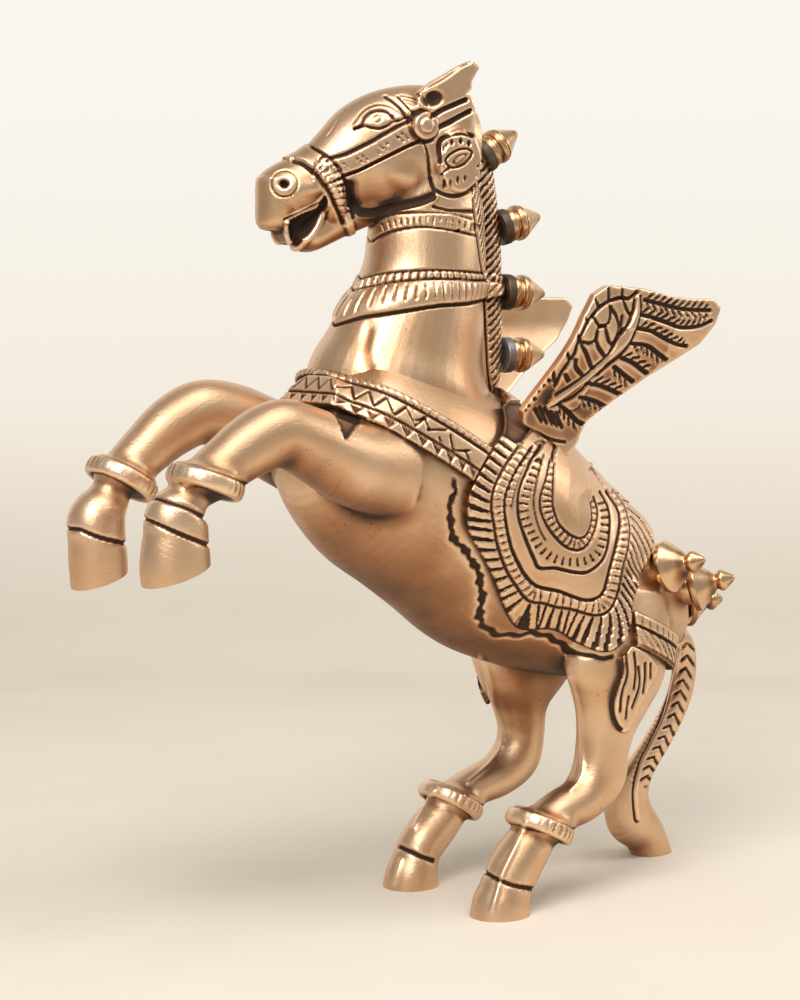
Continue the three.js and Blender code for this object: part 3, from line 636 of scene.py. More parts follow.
SHIN_RIDGES = [
    [(525, 824), (516, 846), (503, 873), (498, 890), (492, 911)], [(433, 791), (423, 809), (414, 828)],
    [(401, 860), (397, 872), (394, 884)], [(570, 677), (578, 705), (581, 740), (582, 773), (571, 790)],
    [(480, 656), (488, 680), (493, 702), (503, 738), (492, 761), (468, 783)],
]
for line in SHIN_RIDGES:
    s, d = track(seen, crop(line), reach=10)
    depth += 0.6 * np.exp(-(d / 2.2) ** 2) * (flesh[:, 0] > 0) * np.clip((outward @ back) / 0.2, 0, 1)
flesh = flesh + outward * depth[:, None]
smooth_facing = normals(flesh, flesh_quads)
dark = hollowness(flesh, flesh_quads, CELL) + 0.8 * np.clip(-depth, 0, 1)
# Painted shade: the inner faces of the hind legs and the belly between them are made darker, as where the
# thighs shade each other.
inner = np.clip(1 - np.abs(flesh[:, 1]) / 24, 0, 1)
inner *= within(flesh[:, 2], 34, 112, 14) * within(flesh[:, 0], 44, 110, 14)
dark += 0.9 * inner * np.clip(-outward[:, 1] * np.sign(flesh[:, 1] + 1e-6) + 0.5, 0, 1)


def flesh_piece(name, field, apex, snap):
    """The part of the flesh where field > 0, as its own closed casting."""
    points, quads, tris, used = patch(flesh, flesh_quads, field, apex, snap)
    slot = "cast_brass" if "body" in name else "limb_brass"
    piece(name + "_flesh", points, quads, cast_brass, name, tris, dark[used],
          facing=smooth_facing[used])


SOLES = {"left_foreleg": ([-108, 131.0], 18), "right_foreleg": ([-108, 124.5], 18)}


def to_foreleg_edge(name):
    """The foreleg's edges: the plane at the chest and the slanted sole."""
    at, slope = SOLES[name]
    a = math.radians(slope)

    def snap(points):
        points = points.copy()
        low = points[:, 0] < -60
        over = plane_distance(points, at, slope)
        points[low] -= over[low, None] * np.array([-math.sin(a), 0, math.cos(a)])
        points[~low, 0] = FORE_CUT
        return points
    return snap


def to_hind_edge(points):
    """The hind leg's edges: the plane under the belly and the floor."""
    points = points.copy()
    points[:, 2] = np.where(points[:, 2] > 40, HIND_CUT, 0)
    return points


def to_body_edge(points):
    """The bodies' edges: the leg planes, and between the bodies the seam as it was cut."""
    points = points.copy()
    at_hip = (points[:, 2] < HIND_CUT + 1.5) & (points[:, 0] > 20)
    points[:, 0] = np.where(points[:, 0] < FORE_CUT + 1.5, FORE_CUT, points[:, 0])
    points[:, 2] = np.where(at_hip, HIND_CUT, points[:, 2])
    return points


body_field = np.minimum(flesh[:, 0] - FORE_CUT, flesh[:, 2] - np.where(flesh[:, 0] < 20, 50, HIND_CUT))
flesh_piece("front_body", np.minimum(body_field, -seam_d), [(-10, 0, 160), (-49, -24, 168), (-49, 24, 174)],
            to_body_edge)
flesh_piece("rear_body", np.minimum(body_field, seam_d), [(50, 0, 125), (79, -26, 76), (81, 26, 76)],
            to_body_edge)
for name, side in (("left_foreleg", -1), ("right_foreleg", 1)):
    sole = plane_distance(flesh, *SOLES[name])
    sole = np.where(flesh[:, 0] < -85, sole, 9)
    field = np.minimum.reduce([FORE_CUT - flesh[:, 0], side * flesh[:, 1], sole])
    (sole_x, sole_z), _ = SOLES[name]
    ends = [(sole_x, side * FORE_Y, sole_z), (FORE_CUT, side * FORE_Y, 170)]
    flesh_piece(name, field, ends, to_foreleg_edge(name))
for name, side, sole_x, top_x in (("left_hind_leg", -1, 24, 78), ("right_hind_leg", 1, 24.5, 79)):
    field = np.minimum.reduce([HIND_CUT - flesh[:, 2], flesh[:, 2], side * flesh[:, 1]])
    flesh_piece(name, field, [(sole_x, side * HIND_Y, 0), (top_x, side * HIND_Y, HIND_CUT)], to_hind_edge)

# The trappings' ground: a second skin that lies 3 mm over barrel, neck and thighs. Cloth, collar,
# crupper and hip leaves are cut from it, so that they fit the horse, and then chased.
NECK = [
    [6, 0, 162, 26, 22], [3, 0, 175, 33, 28], [3.2, 0, 187, 33.8, 28], [5.7, 0, 198, 29.3, 25],
    [9.7, 0, 211, 25.3, 22.5], [13, 0, 225, 22.4, 20], [14, 0, 239, 21.4, 18], [14.5, 0, 252, 20, 16],
    [16, 0, 263, 16, 14],
]
COVER = 0.5  # mm between the points of the cover
THIGHS = {name: LEGS[name][:6] for name in ("left_hind_leg", "right_hind_leg")}
cover, cover_quads = fused(
    [loft(BARREL, around=72, grow=3.2), loft(NECK, grow=2.9, turn=NECK_TURN),
     loft(THIGHS["left_hind_leg"], y=-HIND_Y, grow=3.1),
     loft(THIGHS["right_hind_leg"], y=HIND_Y, grow=3.1)],
    COVER, fill=24, soften=4)
cover_out = normals(cover, cover_quads)
cover_seen = sight(mirrored(cover))
chased_brass = brass("chased_brass", BRIGHT, PATINA_AND_SHADE_COLOUR, 0.4, 0.35, (1.0, 1.0, 1.0))


def chased(name, field, apex, snap, depth, node, edge=1.3):
    """A piece cut from the cover where field > 0, its edge rounded, with relief `depth` in mm."""
    rim = np.clip(field / edge, 0, 1)
    height = depth * rim - 0.9 * (1 - rim) ** 2
    keep = field > -2
    points = cover.copy()
    points[keep] += cover_out[keep] * height[keep, None]
    # The band along the piece's edge is painted darker, as shade where it meets the body; cuts take patina.
    dark = hollowness(points, cover_quads, COVER) + 0.55 * np.clip(-depth, 0, 1) + 0.25 * (1 - rim)
    dark[-1] = -0.5  # the inner point, which takes the last number
    points, quads, tris, used = patch(points, cover_quads, field, apex, snap)
    piece(name, points, quads, chased_brass, node, tris, dark[used])


def nearest_on(outline, closed=True):
    """Moves an edge's points in the side plane onto the outline; the spine's points onto y = 0."""
    def snap(points):
        points = points.copy()
        s, d = track(points[:, [0, 2]], outline, closed=closed)
        step = 0.05
        dx = (track(points[:, [0, 2]] + [step, 0], outline, closed=closed)[1] - d) / step
        dz = (track(points[:, [0, 2]] + [0, step], outline, closed=closed)[1] - d) / step
        close = np.abs(d) < 2.5 * COVER
        points[:, 0] -= np.where(close, d * dx, 0)
        points[:, 2] -= np.where(close, d * dz, 0)
        points[:, 1] = np.where(np.abs(points[:, 1]) < 1.5 * COVER, 0, points[:, 1])
        return points
    return snap


def over_form(points, rows, y=0.0):
    """Height over the skin of a row of ellipses in mm, found by halving the range of its growth."""
    path = smooth_rows(rows, 6)
    s, d = track(points[:, [0, 2]], path[:, [0, 2]], steps=1, reach=300)
    length = np.concatenate([[0], np.cumsum(np.linalg.norm(np.diff(path[:, [0, 2]], axis=0), axis=1))])
    deep, wide = np.interp(s, length, path[:, 3]), np.interp(s, length, path[:, 4])
    middle = np.interp(s, length, path[:, 1]) + y
    low, high = np.full(len(points), -0.95) * np.minimum(deep, wide), np.full(len(points), 90.0)
    for _ in range(22):
        grow = (low + high) / 2
        outside = (d / (deep + grow)) ** 2 + ((points[:, 1] - middle) / (wide + grow)) ** 2 > 1
        low, high = np.where(outside, grow, low), np.where(outside, high, grow)
    return (low + high) / 2


def onto(field):
    """Snap that moves the points of an edge onto field = 0, one step down its slope."""
    def snap(points):
        here = field(points)
        slope = np.stack([(field(points + step) - here) / 0.05 for step in 0.05 * np.eye(3)], -1)
        size = np.maximum((slope ** 2).sum(1), 0.25)
        return points - (np.where(np.abs(here) < 1.5, here, 0) / size)[:, None] * slope
    return snap


# The saddle cloth: a chased brass sheet over the back, brazed on along its edge. Its loops are a
# fringe of cut teeth, a roped border, plain and ticked bands, and a plain bulge under the wing.
CLOTH = [
    (30, 186), (22.5, 173), (15, 167), (9.4, 161.5), (5, 156.5), (1.8, 151), (1.2, 144), (3, 137.5),
    (8.8, 129.8), (15.8, 120.5), (22.3, 110.4), (29, 102.8), (35.5, 100.4), (43, 100.4), (49, 98.5),
    (56, 94.5), (61, 91.6), (66, 91.3), (70, 93.5), (73.5, 97.5), (75, 103), (77.5, 110), (83, 117),
    (91, 122.5), (101, 129.5), (113, 138), (113, 165), (100, 190), (70, 205), (45, 205),
]


CLOTH_LINES = {
    "outer": [(330, 300), (260, 400), (215, 480), (185, 560), (178, 640), (190, 720), (205, 820), (235, 920),
              (270, 1000), (310, 1060), (345, 1110), (385, 1142), (450, 1150), (520, 1170), (600, 1182),
              (680, 1205), (740, 1215), (790, 1200), (830, 1150), (860, 1050), (880, 950), (905, 860),
              (915, 760), (905, 690), (880, 620), (820, 540)],
    "inner": [(385, 310), (310, 420), (265, 510), (240, 590), (240, 680), (255, 780), (275, 860),
              (305, 930), (350, 1010), (400, 1060), (450, 1080), (530, 1095), (610, 1125), (680, 1145),
              (740, 1135), (780, 1100), (800, 1040), (820, 960), (845, 870), (868, 760), (872, 690),
              (855, 630), (800, 550)],
    "second": [(440, 310), (375, 390), (330, 470), (298, 560), (280, 640)],
    "groove": [(440, 300), (408, 350), (370, 430), (335, 510), (318, 590), (320, 680), (345, 770),
               (375, 850), (405, 920), (432, 965), (512, 965), (560, 975), (620, 988), (680, 990),
               (730, 965), (775, 920), (800, 860), (812, 780), (815, 690), (800, 620), (760, 550)],
    "ticks": [(430, 390), (395, 470), (370, 540), (352, 610), (352, 660), (372, 730), (400, 790), (435, 850),
              (490, 900), (560, 925), (640, 930), (710, 910), (752, 870), (775, 800), (785, 720), (780, 650),
              (760, 590)],
    "thin": [(455, 350), (415, 500), (400, 600), (410, 680), (435, 760), (465, 815)],
    "loop": [(490, 380), (470, 480), (440, 570), (437, 640), (460, 710), (500, 775), (550, 830), (600, 862),
             (650, 865), (690, 840), (725, 780), (745, 700), (745, 640), (725, 580)],
    "heart": [(512, 400), (505, 520), (503, 600), (512, 660), (540, 730), (590, 780), (640, 802), (680, 790),
              (705, 740), (715, 680), (708, 610)],
}
CLOTH_VIEW = (460, 390, 5.409)  # the enlarged view's left and top in the photo, and its scale
lines = {key: crop(value, *CLOTH_VIEW) for key, value in CLOTH_LINES.items()}
relief = np.zeros(len(cover))
s, d = track(cover_seen, lines["outer"], reach=45)
lean = np.interp(s, [0, 60, 150, 175, 240, 262, 300, 380], [0, 0.3, 0.1, 0, 0.2, 0.7, 1.4, 1.4])
count = np.interp(s, [0, 150, 262, 380], [0, 16, 30, 44])
share = 0.2 + 0.3 * np.clip(-d / 20, 0, 1)
teeth = comb(count - lean * d / 8.4, 1.0, share) * np.clip((-d - 2.0) / 3, 0, 1) * (d > -60)
relief -= 1.15 * teeth + 0.6 * line_cut(d + 1.2, 2.0)
inside = np.clip(d / 2, 0, 1)
di = track(cover_seen, lines["inner"], reach=20)[1]
band = np.clip(d / 2, 0, 1) * np.clip(-di / 2, 0, 1)
relief += 0.6 * band * (1 - 1.2 * comb(s, 7.6, 0.27)) - 0.9 * line_cut(di - 1, 2.8) * (di > -4)
s, d = track(cover_seen, lines["second"], reach=12)
relief -= 0.5 * line_cut(d, 1.6) + 0.5 * comb(s, 8.4, 0.24) * within(d, -8.5, -0.5, 1)
relief -= engrave(cover_seen, lines["groove"], 2.8, 1.0, reach=12)
s, d = track(cover_seen, lines["ticks"], reach=12)
relief -= 0.6 * comb(s, 7.4, 0.24) * within(d, -4.5, 4.5, 1)
relief -= 0.4 * comb(s, 7.4, 0.42) * line_cut(d + 3.5, 2)
relief -= engrave(cover_seen, lines["thin"], 1.5, 0.5, reach=12)
s, d = track(cover_seen, lines["loop"], reach=40)
relief -= 0.8 * line_cut(d, 2.2)
dh = track(cover_seen, lines["heart"], reach=30)[1]
relief -= 0.65 * comb(s, 7.0, 0.26) * np.clip((d - 1) / 1.5, 0, 1) * np.clip((-dh - 0.5) / 1.5, 0, 1)
relief -= 0.7 * line_cut(dh, 1.6)
relief += 0.8 * np.clip(dh / 14, 0, 1) * (dh < FAR)
relief *= np.clip((np.abs(cover[:, 1]) - 4) / 6, 0.15, 1)
outline_d = track(cover[:, [0, 2]], CLOTH, reach=80, closed=True)[1]
NECK_GAP = 6.0  # mm between the neck and the cloth


def by_neck(points):
    """True for the points of the back that lie near the foot of the neck."""
    return (points[:, 0] < 54) & (points[:, 2] > 150)


def past_gap(points):
    """Distance from the neck in mm, less the gap that the cloth leaves round it."""
    return over_form(turned_by(points, -NECK_TURN), NECK) - NECK_GAP


def to_cloth_edge(points):
    """Moves the cloth's edge onto its outline, the neck's foot or, on the spine, onto y = 0."""
    points = nearest_on(CLOTH)(points)
    near = by_neck(points)
    close = np.abs(past_gap(points[near])) < 1.2
    points[near] = np.where(close[:, None], onto(past_gap)(points[near]), points[near])
    return points


off_neck = np.full(len(cover), 9.0)
off_neck[by_neck(cover)] = past_gap(cover[by_neck(cover)])


for side, name in ((-1, "left"), (1, "right")):
    field = np.minimum.reduce([outline_d, side * cover[:, 1], off_neck])
    chased("saddle_cloth_" + name, field, (50, side * 2, 130), to_cloth_edge, relief, "saddle_cloth")


# Head and neck: one hollow brass casting, turned a little to the horse's right, and brazed to the
# chest under the collar. Lips, jaw, eyes, bridle and bands are modelled in the wax and sharpened
# with a chisel after casting.
HEAD = [
    [31, 0, 270, 13, 10], [18, 0, 270.5, 20, 14.5], [3, 0, 268.5, 21.5, 15.5], [-10, 0, 264.5, 20, 14.5],
    [-20, 0, 260.5, 15.5, 12.2], [-29, 0, 257, 11.5, 10.8], [-38, 0, 253.5, 10.5, 10.8],
    [-41.5, 0, 251.2, 10.6, 10], [-43.8, 0, 249.6, 9.4, 8.8], [-45.5, 0, 248.5, 6.5, 6.5],
    [-46.3, 0, 248, 3, 3],
]
JAW = [[-4, 0, 251, 7, 9], [-16, 0, 246, 6.5, 8], [-25, 0, 241, 5.6, 7], [-32, 0, 237.6, 5, 6.6],
       [-37, 0, 237.4, 3.6, 5]]
CREST = [
    [22, 0, 284, 5, 3], [29, 0, 275, 6, 3.4], [33.5, 0, 264, 6, 3.6], [36, 0, 250, 6, 3.6],
    [37.5, 0, 235, 6, 3.6], [38, 0, 215, 6, 3.6], [38, 0, 197, 6, 3.6], [38.4, 0, 188, 5, 3.3],
    [39.6, 0, 181, 1.8, 1.6],
]
LIP = [[-41.5, 0, 257, 8.5, 9], [-42.5, 0, 251, 7.9, 9], [-44, 0, 246, 6.4, 8.2],
       [-44.8, 0, 241.8, 5.2, 7], [-45, 0, 240, 3, 4.6]]
THROAT = [(-42, 242), (-42.4, 238.5), (-40.6, 235.5), (-34, 237), (-28, 243), (-27, 252), (-36, 252),
          (-41, 246)]
NOSEBAND = [[-24.8, 0, 255.1, 13, 12], [-27.5, 0, 254, 14.6, 13], [-30.3, 0, 252.9, 13, 12]]
TUFT = [[14, 0, 277, 8, 8], [22, 0, 279, 7, 6.5], [29, 0, 280, 4, 4]]
CHEEK = [[10, 0, 259, 9, 9], [3, 0, 260, 11.5, 14.5], [-6, 0, 261, 10.5, 14.6], [-14, 0, 260, 7, 12]]
EAR = [
    (3, 280), (5, 287.5), (10.6, 291.5), (14.8, 293.7), (19.9, 296.6), (25, 299), (28.5, 296.8),
    (25.4, 292), (25, 288.6), (22.2, 287.4), (25, 286.9), (26.6, 283.1), (25.4, 275), (12, 272),
]


def prism(outline, low, high):
    """Closed form of a side outline (x, z) between two distances from the median plane."""
    outline = np.asarray(outline, float)
    n = len(outline)
    if np.cross(np.roll(outline, -1, 0) - outline, np.roll(outline, -2, 0) - outline).sum() > 0:
        outline = outline[::-1]
    flat = np.stack([outline[:, 0], np.zeros(n), outline[:, 1]], -1)
    middle = flat.mean(0)
    ends = [middle + [0, low, 0], middle + [0, high, 0]]
    points = np.concatenate([flat + [0, low, 0], flat + [0, high, 0], ends])
    k = np.arange(n)
    m = (k + 1) % n
    tris = np.concatenate([np.stack([0 * k + 2 * n, m, k], -1),
                           np.stack([0 * k + 2 * n + 1, n + k, n + m], -1)])
    return points, np.stack([k, m, n + m, n + k], -1), tris


HEAD_CELL = 0.48  # mm between the points of the head and neck
angles = np.arange(32) * 2 * math.pi / 32
DROP = np.stack([19 + 8.2 * np.cos(angles), 264 + 10.6 * np.sin(angles)], -1)
BOSS = [[0, 4.3], [16.2, 4.4], [17.1, 4.0], [17.5, 3.1], [17.6, 0.5]]
BOSS_X, BOSS_Z = 5.5, 275.8
forms = [loft(HEAD), loft(JAW), loft(NOSEBAND), loft(TUFT), loft(CREST), loft(NECK), loft(BARREL[:5]),
         loft(CHEEK), loft(LIP), prism(THROAT, -6.5, 6.5)]
for side, back_by, drop_by in ((-1, 0, 0), (1, 3, 3)):
    forms.append(prism(np.array(EAR) + [back_by, -drop_by], *sorted((side * 8.6, side * 13.4))))
    forms.append(prism(DROP, *sorted((side * 8, side * 17.2))))
    forms.append(turned(BOSS, [BOSS_X, 0, BOSS_Z], [0, side, 0]))
head, head_quads = fused(forms, HEAD_CELL, fill=26, soften=4)
head_out = normals(head, head_quads)
head_seen = sight(turned_by(mirrored(head), NECK_TURN))
HEAD_VIEW = (245, 50, 6.149)  # left, top and scale, as in CLOTH_VIEW
NECK_VIEW = (275, 200, 5.2286)


def on_head(points):
    """A line read off the enlarged view of the head."""
    return crop(points, *HEAD_VIEW)


def on_neck(points):
    """A line read off the enlarged view of the neck."""
    return crop(points, *NECK_VIEW)


def head_spot(at, wide=1, high=1):
    """Offset from a place on the enlarged view of the head, in its pixels over a spot's size."""
    return (head_seen - on_head([at])) * HEAD_VIEW[2] / [wide, high]


near_head = head[:, 2] > 225
relief = np.zeros(len(head))
# each line as read off the view, with the width of its cut in pixels and its depth in mm
HEAD_CUTS = {
    "brow": ([(662, 465), (682, 430), (715, 385), (765, 350), (830, 334), (900, 350), (950, 382),
        (990, 415)], 1.5, 0.5),
    "upper lid": ([(672, 480), (715, 462), (735, 415), (775, 382), (835, 371), (880, 385), (910, 420)
       ], 2.6, 0.8),
    "lower lid": ([(672, 480), (730, 463), (780, 476), (830, 480), (875, 465), (910, 440), (950, 432),
        (990, 412)], 2.4, 0.75),
    "eye corner": ([(905, 400), (925, 425), (945, 432)], 1.6, 0.5),
    "forelock edge": ([(862, 285), (905, 310), (950, 350), (985, 392), (1012, 425)], 3.0, 0.9),
    "forelock strand": ([(940, 285), (980, 325), (1012, 362), (1050, 392)], 2.0, 0.6),
    "strap top": ([(530, 665), (620, 640), (700, 602), (780, 562), (860, 515), (930, 475), (1000, 440)
       ], 3.4, 0.9),
    "strap foot": ([(600, 778), (650, 757), (700, 740), (800, 690), (900, 640), (1000, 590), (1065, 563)
       ], 3.2, 1.0),
    "noseband front": ([(300, 680), (360, 700), (440, 770), (510, 860), (560, 960), (605, 1060)], 4.0, 1.2),
    "noseband back": ([(410, 600), (480, 640), (540, 690), (595, 770), (630, 850), (650, 950),
        (662, 1030)], 3.6, 0.9),
    "jaw": ([(640, 830), (645, 900), (670, 965), (720, 1000), (800, 1000), (900, 972), (1000, 950),
        (1080, 930), (1150, 902)], 6.5, 1.1),
    "throat strap": ([(1100, 560), (1124, 640), (1132, 730), (1140, 800), (1165, 880)], 2.2, 0.6),
    "ear foot": ([(1150, 408), (1200, 375), (1280, 340), (1362, 305)], 4.0, 1.3),
    "ear strap": ([(1195, 472), (1250, 446), (1310, 415), (1388, 374)], 4.0, 1.3),
    "ear rim": ([(1100, 245), (1180, 205), (1260, 155), (1330, 100), (1385, 76)], 2.0, 0.5),
    "drop front": ([(1200, 690), (1190, 620), (1195, 560), (1225, 535), (1280, 520), (1345, 515),
        (1400, 530)], 3.4, 1.0),
    "drop foot": ([(1140, 790), (1165, 850), (1220, 885), (1290, 900), (1360, 880), (1420, 830)], 3.0, 0.8),
    "drop ring": ([(1262, 722), (1236, 690), (1245, 660), (1290, 625), (1345, 608), (1392, 620),
        (1390, 655), (1350, 700), (1300, 722), (1262, 722)], 2.0, 0.7),
    "drop bead": ([(1280, 692), (1310, 655), (1365, 640), (1345, 675), (1305, 700), (1280, 692)], 1.6, 0.5),
    "drop stem": ([(1255, 728), (1232, 745), (1207, 768)], 2.2, 0.7),
    "lip": ([(245, 1040), (330, 1002), (400, 967), (460, 937), (495, 900)], 2.0, 0.8),
    "neck band": ([(1160, 965), (1250, 985), (1330, 990), (1400, 992)], 3.0, 0.7),
    "rope top": ([(800, 1060), (860, 1025), (930, 1005), (1040, 1000), (1180, 1000), (1300, 1012),
        (1398, 1040)], 1.8, 0.5),
    "rope foot": ([(780, 1178), (830, 1142), (900, 1115), (1000, 1095), (1100, 1088), (1250, 1104),
        (1420, 1140)], 2.2, 0.6),
    "nose vein": ([(505, 530), (530, 500), (565, 440), (590, 400), (625, 365)], 1.3, 0.25),
    "hair 1": ([(960, 275), (1020, 292), (1065, 312)], 1.2, 0.35),
    "hair 2": ([(975, 300), (1020, 312), (1060, 335)], 1.2, 0.35),
    "hair 3": ([(1000, 322), (1040, 338), (1065, 352)], 1.2, 0.35),
    "hair 4": ([(1060, 268), (1080, 300), (1105, 345)], 2.0, 0.6),
    "hair 5": ([(1080, 262), (1100, 300), (1125, 345)], 2.0, 0.6),
}
for line, width, depth in HEAD_CUTS.values():
    relief[near_head] -= engrave(head_seen[near_head], on_head(line), width, depth)
# nostril, dots of the drop and ear opening: place, width and height in pixels, depth in mm
HEAD_HOLES = [
    ((240, 820), 26, 24, 2.6), ((1222, 602), 14, 26, 1.0), ((1243, 580), 10, 20, 0.9),
    ((1275, 566), 11, 22, 1.0), ((1330, 560), 12, 22, 1.0), ((1380, 574), 12, 24, 1.0),
    ((1165, 300), 52, 46, 1.9), ((1225, 825), 9, 30, 0.7), ((1265, 820), 9, 28, 0.7),
    ((1310, 800), 9, 26, 0.7), ((1355, 790), 8, 22, 0.6), ((1190, 690), 8, 22, 0.6),
]
for at, wide, high, depth in HEAD_HOLES:
    relief -= near_head * depth * np.exp(-((head_spot(at, wide, high) ** 2).sum(1)) ** 1.5)
NOSTRIL, PUPIL, EYEBALL, NOSE_WING = (243, 822), (812, 423), (825, 425), (420, 850)
relief -= near_head * 0.45 * line_cut(np.hypot(*head_spot(NOSTRIL).T) - 82, 9)
off = head_spot(PUPIL)
relief -= near_head * 0.4 * line_cut(np.hypot(*off.T) - 26, 8)
relief += near_head * 0.3 * np.exp(-(off ** 2).sum(1) / 120)
relief += near_head * 0.7 * np.exp(-((head_spot(EYEBALL, 95, 42) ** 2).sum(1)) ** 1.2)
relief += near_head * 0.7 * np.exp(-((head_spot(NOSE_WING, 75, 40) ** 2).sum(1)))
ring = np.hypot(head[:, 0] - BOSS_X, head[:, 2] - BOSS_Z)
on_boss = np.abs(head[:, 1]) > 15.6
relief -= on_boss * 0.7 * line_cut(ring - 2.9, 0.9)
relief -= (np.abs(head[:, 1]) < 17.4) * (np.abs(head[:, 1]) > 9) * 0.9 * line_cut(ring - 5.3, 1.5)
# the strap, noseband and bands stand proud of the skin, with dashes cut across
s_top, d_top = track(head_seen, on_head(HEAD_CUTS["strap top"][0]), reach=30)
d_low = track(head_seen, on_head(HEAD_CUTS["strap foot"][0]), reach=30)[1]
strap = np.clip(-d_top / 1.5, 0, 1) * np.clip(d_low / 1.5, 0, 1) * (d_top > -30) * (d_low < 30)
dashes = comb(s_top + 0.45 * d_top, 6.4, 0.3)
dashes *= np.clip((-d_top - 6) / 2, 0, 1) * np.clip((d_low - 4) / 2, 0, 1)
groups = np.clip(1.6 * np.cos(2 * math.pi * (s_top - 6) / 22) + 0.9, 0, 1)
relief += near_head * strap * (0.8 - 0.75 * dashes * groups)
d_top = track(head_seen, on_head(HEAD_CUTS["noseband front"][0]), reach=30)[1]
s_low, d_low = track(head_seen, on_head(HEAD_CUTS["noseband back"][0]), reach=30)
band = np.clip(d_top / 1.5, 0, 1) * np.clip(-d_low / 1.5, 0, 1) * (d_top < 30) * (d_low > -30)
relief += near_head * band * (0.8 - 0.9 * comb(s_low, 7.2, 0.16) * (s_low > 12))
BAND_TOP = [(800, 1070), (900, 1040), (1000, 1028), (1150, 1022), (1300, 1035), (1400, 1060)]
s_top, d_top = track(head_seen, on_head(BAND_TOP), reach=30)
relief -= near_head * 0.5 * comb(s_top, 6.6, 0.18) * within(-d_top, 0.3, 9.5, 1.2) * (s_top > 2)
# the mouth: its inside is cut back and painted dark as shade, its rim a raised lip
MOUTH = [(262, 1045), (340, 1003), (430, 965), (492, 905), (512, 935), (470, 1010), (440, 1080),
         (395, 1145), (325, 1212), (283, 1190), (262, 1120)]
d_m = track(head_seen, on_head(MOUTH), closed=True, reach=30)[1]
inside_mouth = np.clip(-d_m, -20, 20) * near_head
relief -= 4.2 * np.clip((inside_mouth - 1.0) / 8, 0, 1) ** 0.8
relief += near_head * 0.5 * line_cut(d_m - 1.5, 3.5)
s_t, d_t = track(head_seen, on_head(MOUTH[:3]), reach=12)
relief += near_head * 0.8 * comb(s_t, 4.2, 0.5) * line_cut(d_t + 2.6, 2.6)
mouth_dark = np.clip((inside_mouth - 0.5) / 3, 0, 1)
# the neck's two lower bands, the muscle crease and the mane's herringbone
low_neck = head[:, 2] < 262
ROPE_TOP = [(420, 425), (520, 392), (620, 378), (750, 370), (900, 368), (1092, 385)]
ROPE_FOOT = [(365, 510), (440, 470), (520, 448), (620, 430), (750, 418), (900, 415), (1100, 426)]
FRILL_FOOT = [(308, 656), (380, 634), (460, 612), (560, 598), (700, 577), (850, 554), (1000, 542),
              (1092, 522)]
for line, width, depth in ((ROPE_TOP, 2.0, 0.55), (ROPE_FOOT, 1.6, 0.45), (FRILL_FOOT, 2.6, 0.8)):
    relief -= low_neck * engrave(head_seen, on_neck(line), width, depth)
d_a = track(head_seen, on_neck(ROPE_TOP), reach=30)[1]
d_b = track(head_seen, on_neck(ROPE_FOOT), reach=30)[1]
d_c = track(head_seen, on_neck(FRILL_FOOT), reach=40)[1]
narrow = np.clip(-d_a, 0, 1) * np.clip(d_b, 0, 1) * (d_a > -20) * (d_b < 20)
wide = np.clip(-d_b, 0, 1) * np.clip(d_c, 0, 1) * (d_b > -45) * (d_c < 45)
around = np.arctan2(head[:, 1], 13 - head[:, 0]) * 22
relief += low_neck * narrow * (0.45 - 0.75 * comb(around, 2.8, 0.3))
roll = np.clip(1 - ((d_c - 14) / 15) ** 2, 0, 1)
relief += low_neck * wide * (0.4 + 1.3 * roll - 0.55 * comb(around, 3.1, 0.24) * within(-d_b, 2, 22, 3))
CREASE = [(503, 620), (492, 690), (480, 760), (484, 830), (505, 880)]
s, d = track(head_seen, on_neck(CREASE), reach=30)
relief -= low_neck * 0.55 * np.exp(-(d / 5.5) ** 2) * np.clip(s / 12, 0, 1)
MANE_EDGE = [(1035, 0), (1050, 120), (1072, 300), (1090, 420), (1098, 600), (1108, 800), (1120, 950),
             (1150, 1080)]
d = track(head_seen, on_neck(MANE_EDGE), reach=40)[1]
mane = (head[:, 0] > 25) & (head[:, 2] < 272)
relief -= mane * 0.8 * line_cut(d, 2.0)
strip = np.clip((d - 1.5) / 2, 0, 1) * (d < FAR) * mane
chevron = comb(head[:, 2] + 0.75 * np.abs(head[:, 1]) - 0.8 * head[:, 0], 3.0, 0.34)
relief -= strip * 0.75 * chevron * np.clip((np.abs(head[:, 1]) - 0.4) / 0.6, 0.3, 1)
points = head + head_out * relief[:, None]
# The wide dark band along the jaw's cut is painted shade under the jowl; the mouth's dark inside is painted
# shade too.
dark = (hollowness(points, head_quads, HEAD_CELL) + 0.5 * np.clip(-relief, 0, 1.2) + 1.6 * mouth_dark
        + 0.9 * near_head * engrave(head_seen, on_head(HEAD_CUTS["jaw"][0]), 14, 1.0, reach=30))
placed = turned_by(points, NECK_TURN)
facing = normals(placed, head_quads)
JOINT_AT, JOINT_SLOPE = [14, 240], 12  # the plane between head and neck, in the neck's own frame
COLLAR_AT, COLLAR_SLOPE = [-26, 181.5], -31
halves = plane_distance(head, JOINT_AT, JOINT_SLOPE)
over_collar = plane_distance(turned_by(head, NECK_TURN), COLLAR_AT, COLLAR_SLOPE)
over_collar = np.where(head[:, 0] > 34, 9, over_collar)


def to_neck_edge(points):
    """The neck's edges: the plane to the head, and the slanted end under the collar."""
    points = points.copy()
    over = plane_distance(turned_by(points, -NECK_TURN), JOINT_AT, JOINT_SLOPE)
    a = math.radians(JOINT_SLOPE)
    return points - np.where(np.abs(over) < 1, over, 0)[:, None] * [-math.sin(a), 0, math.cos(a)]


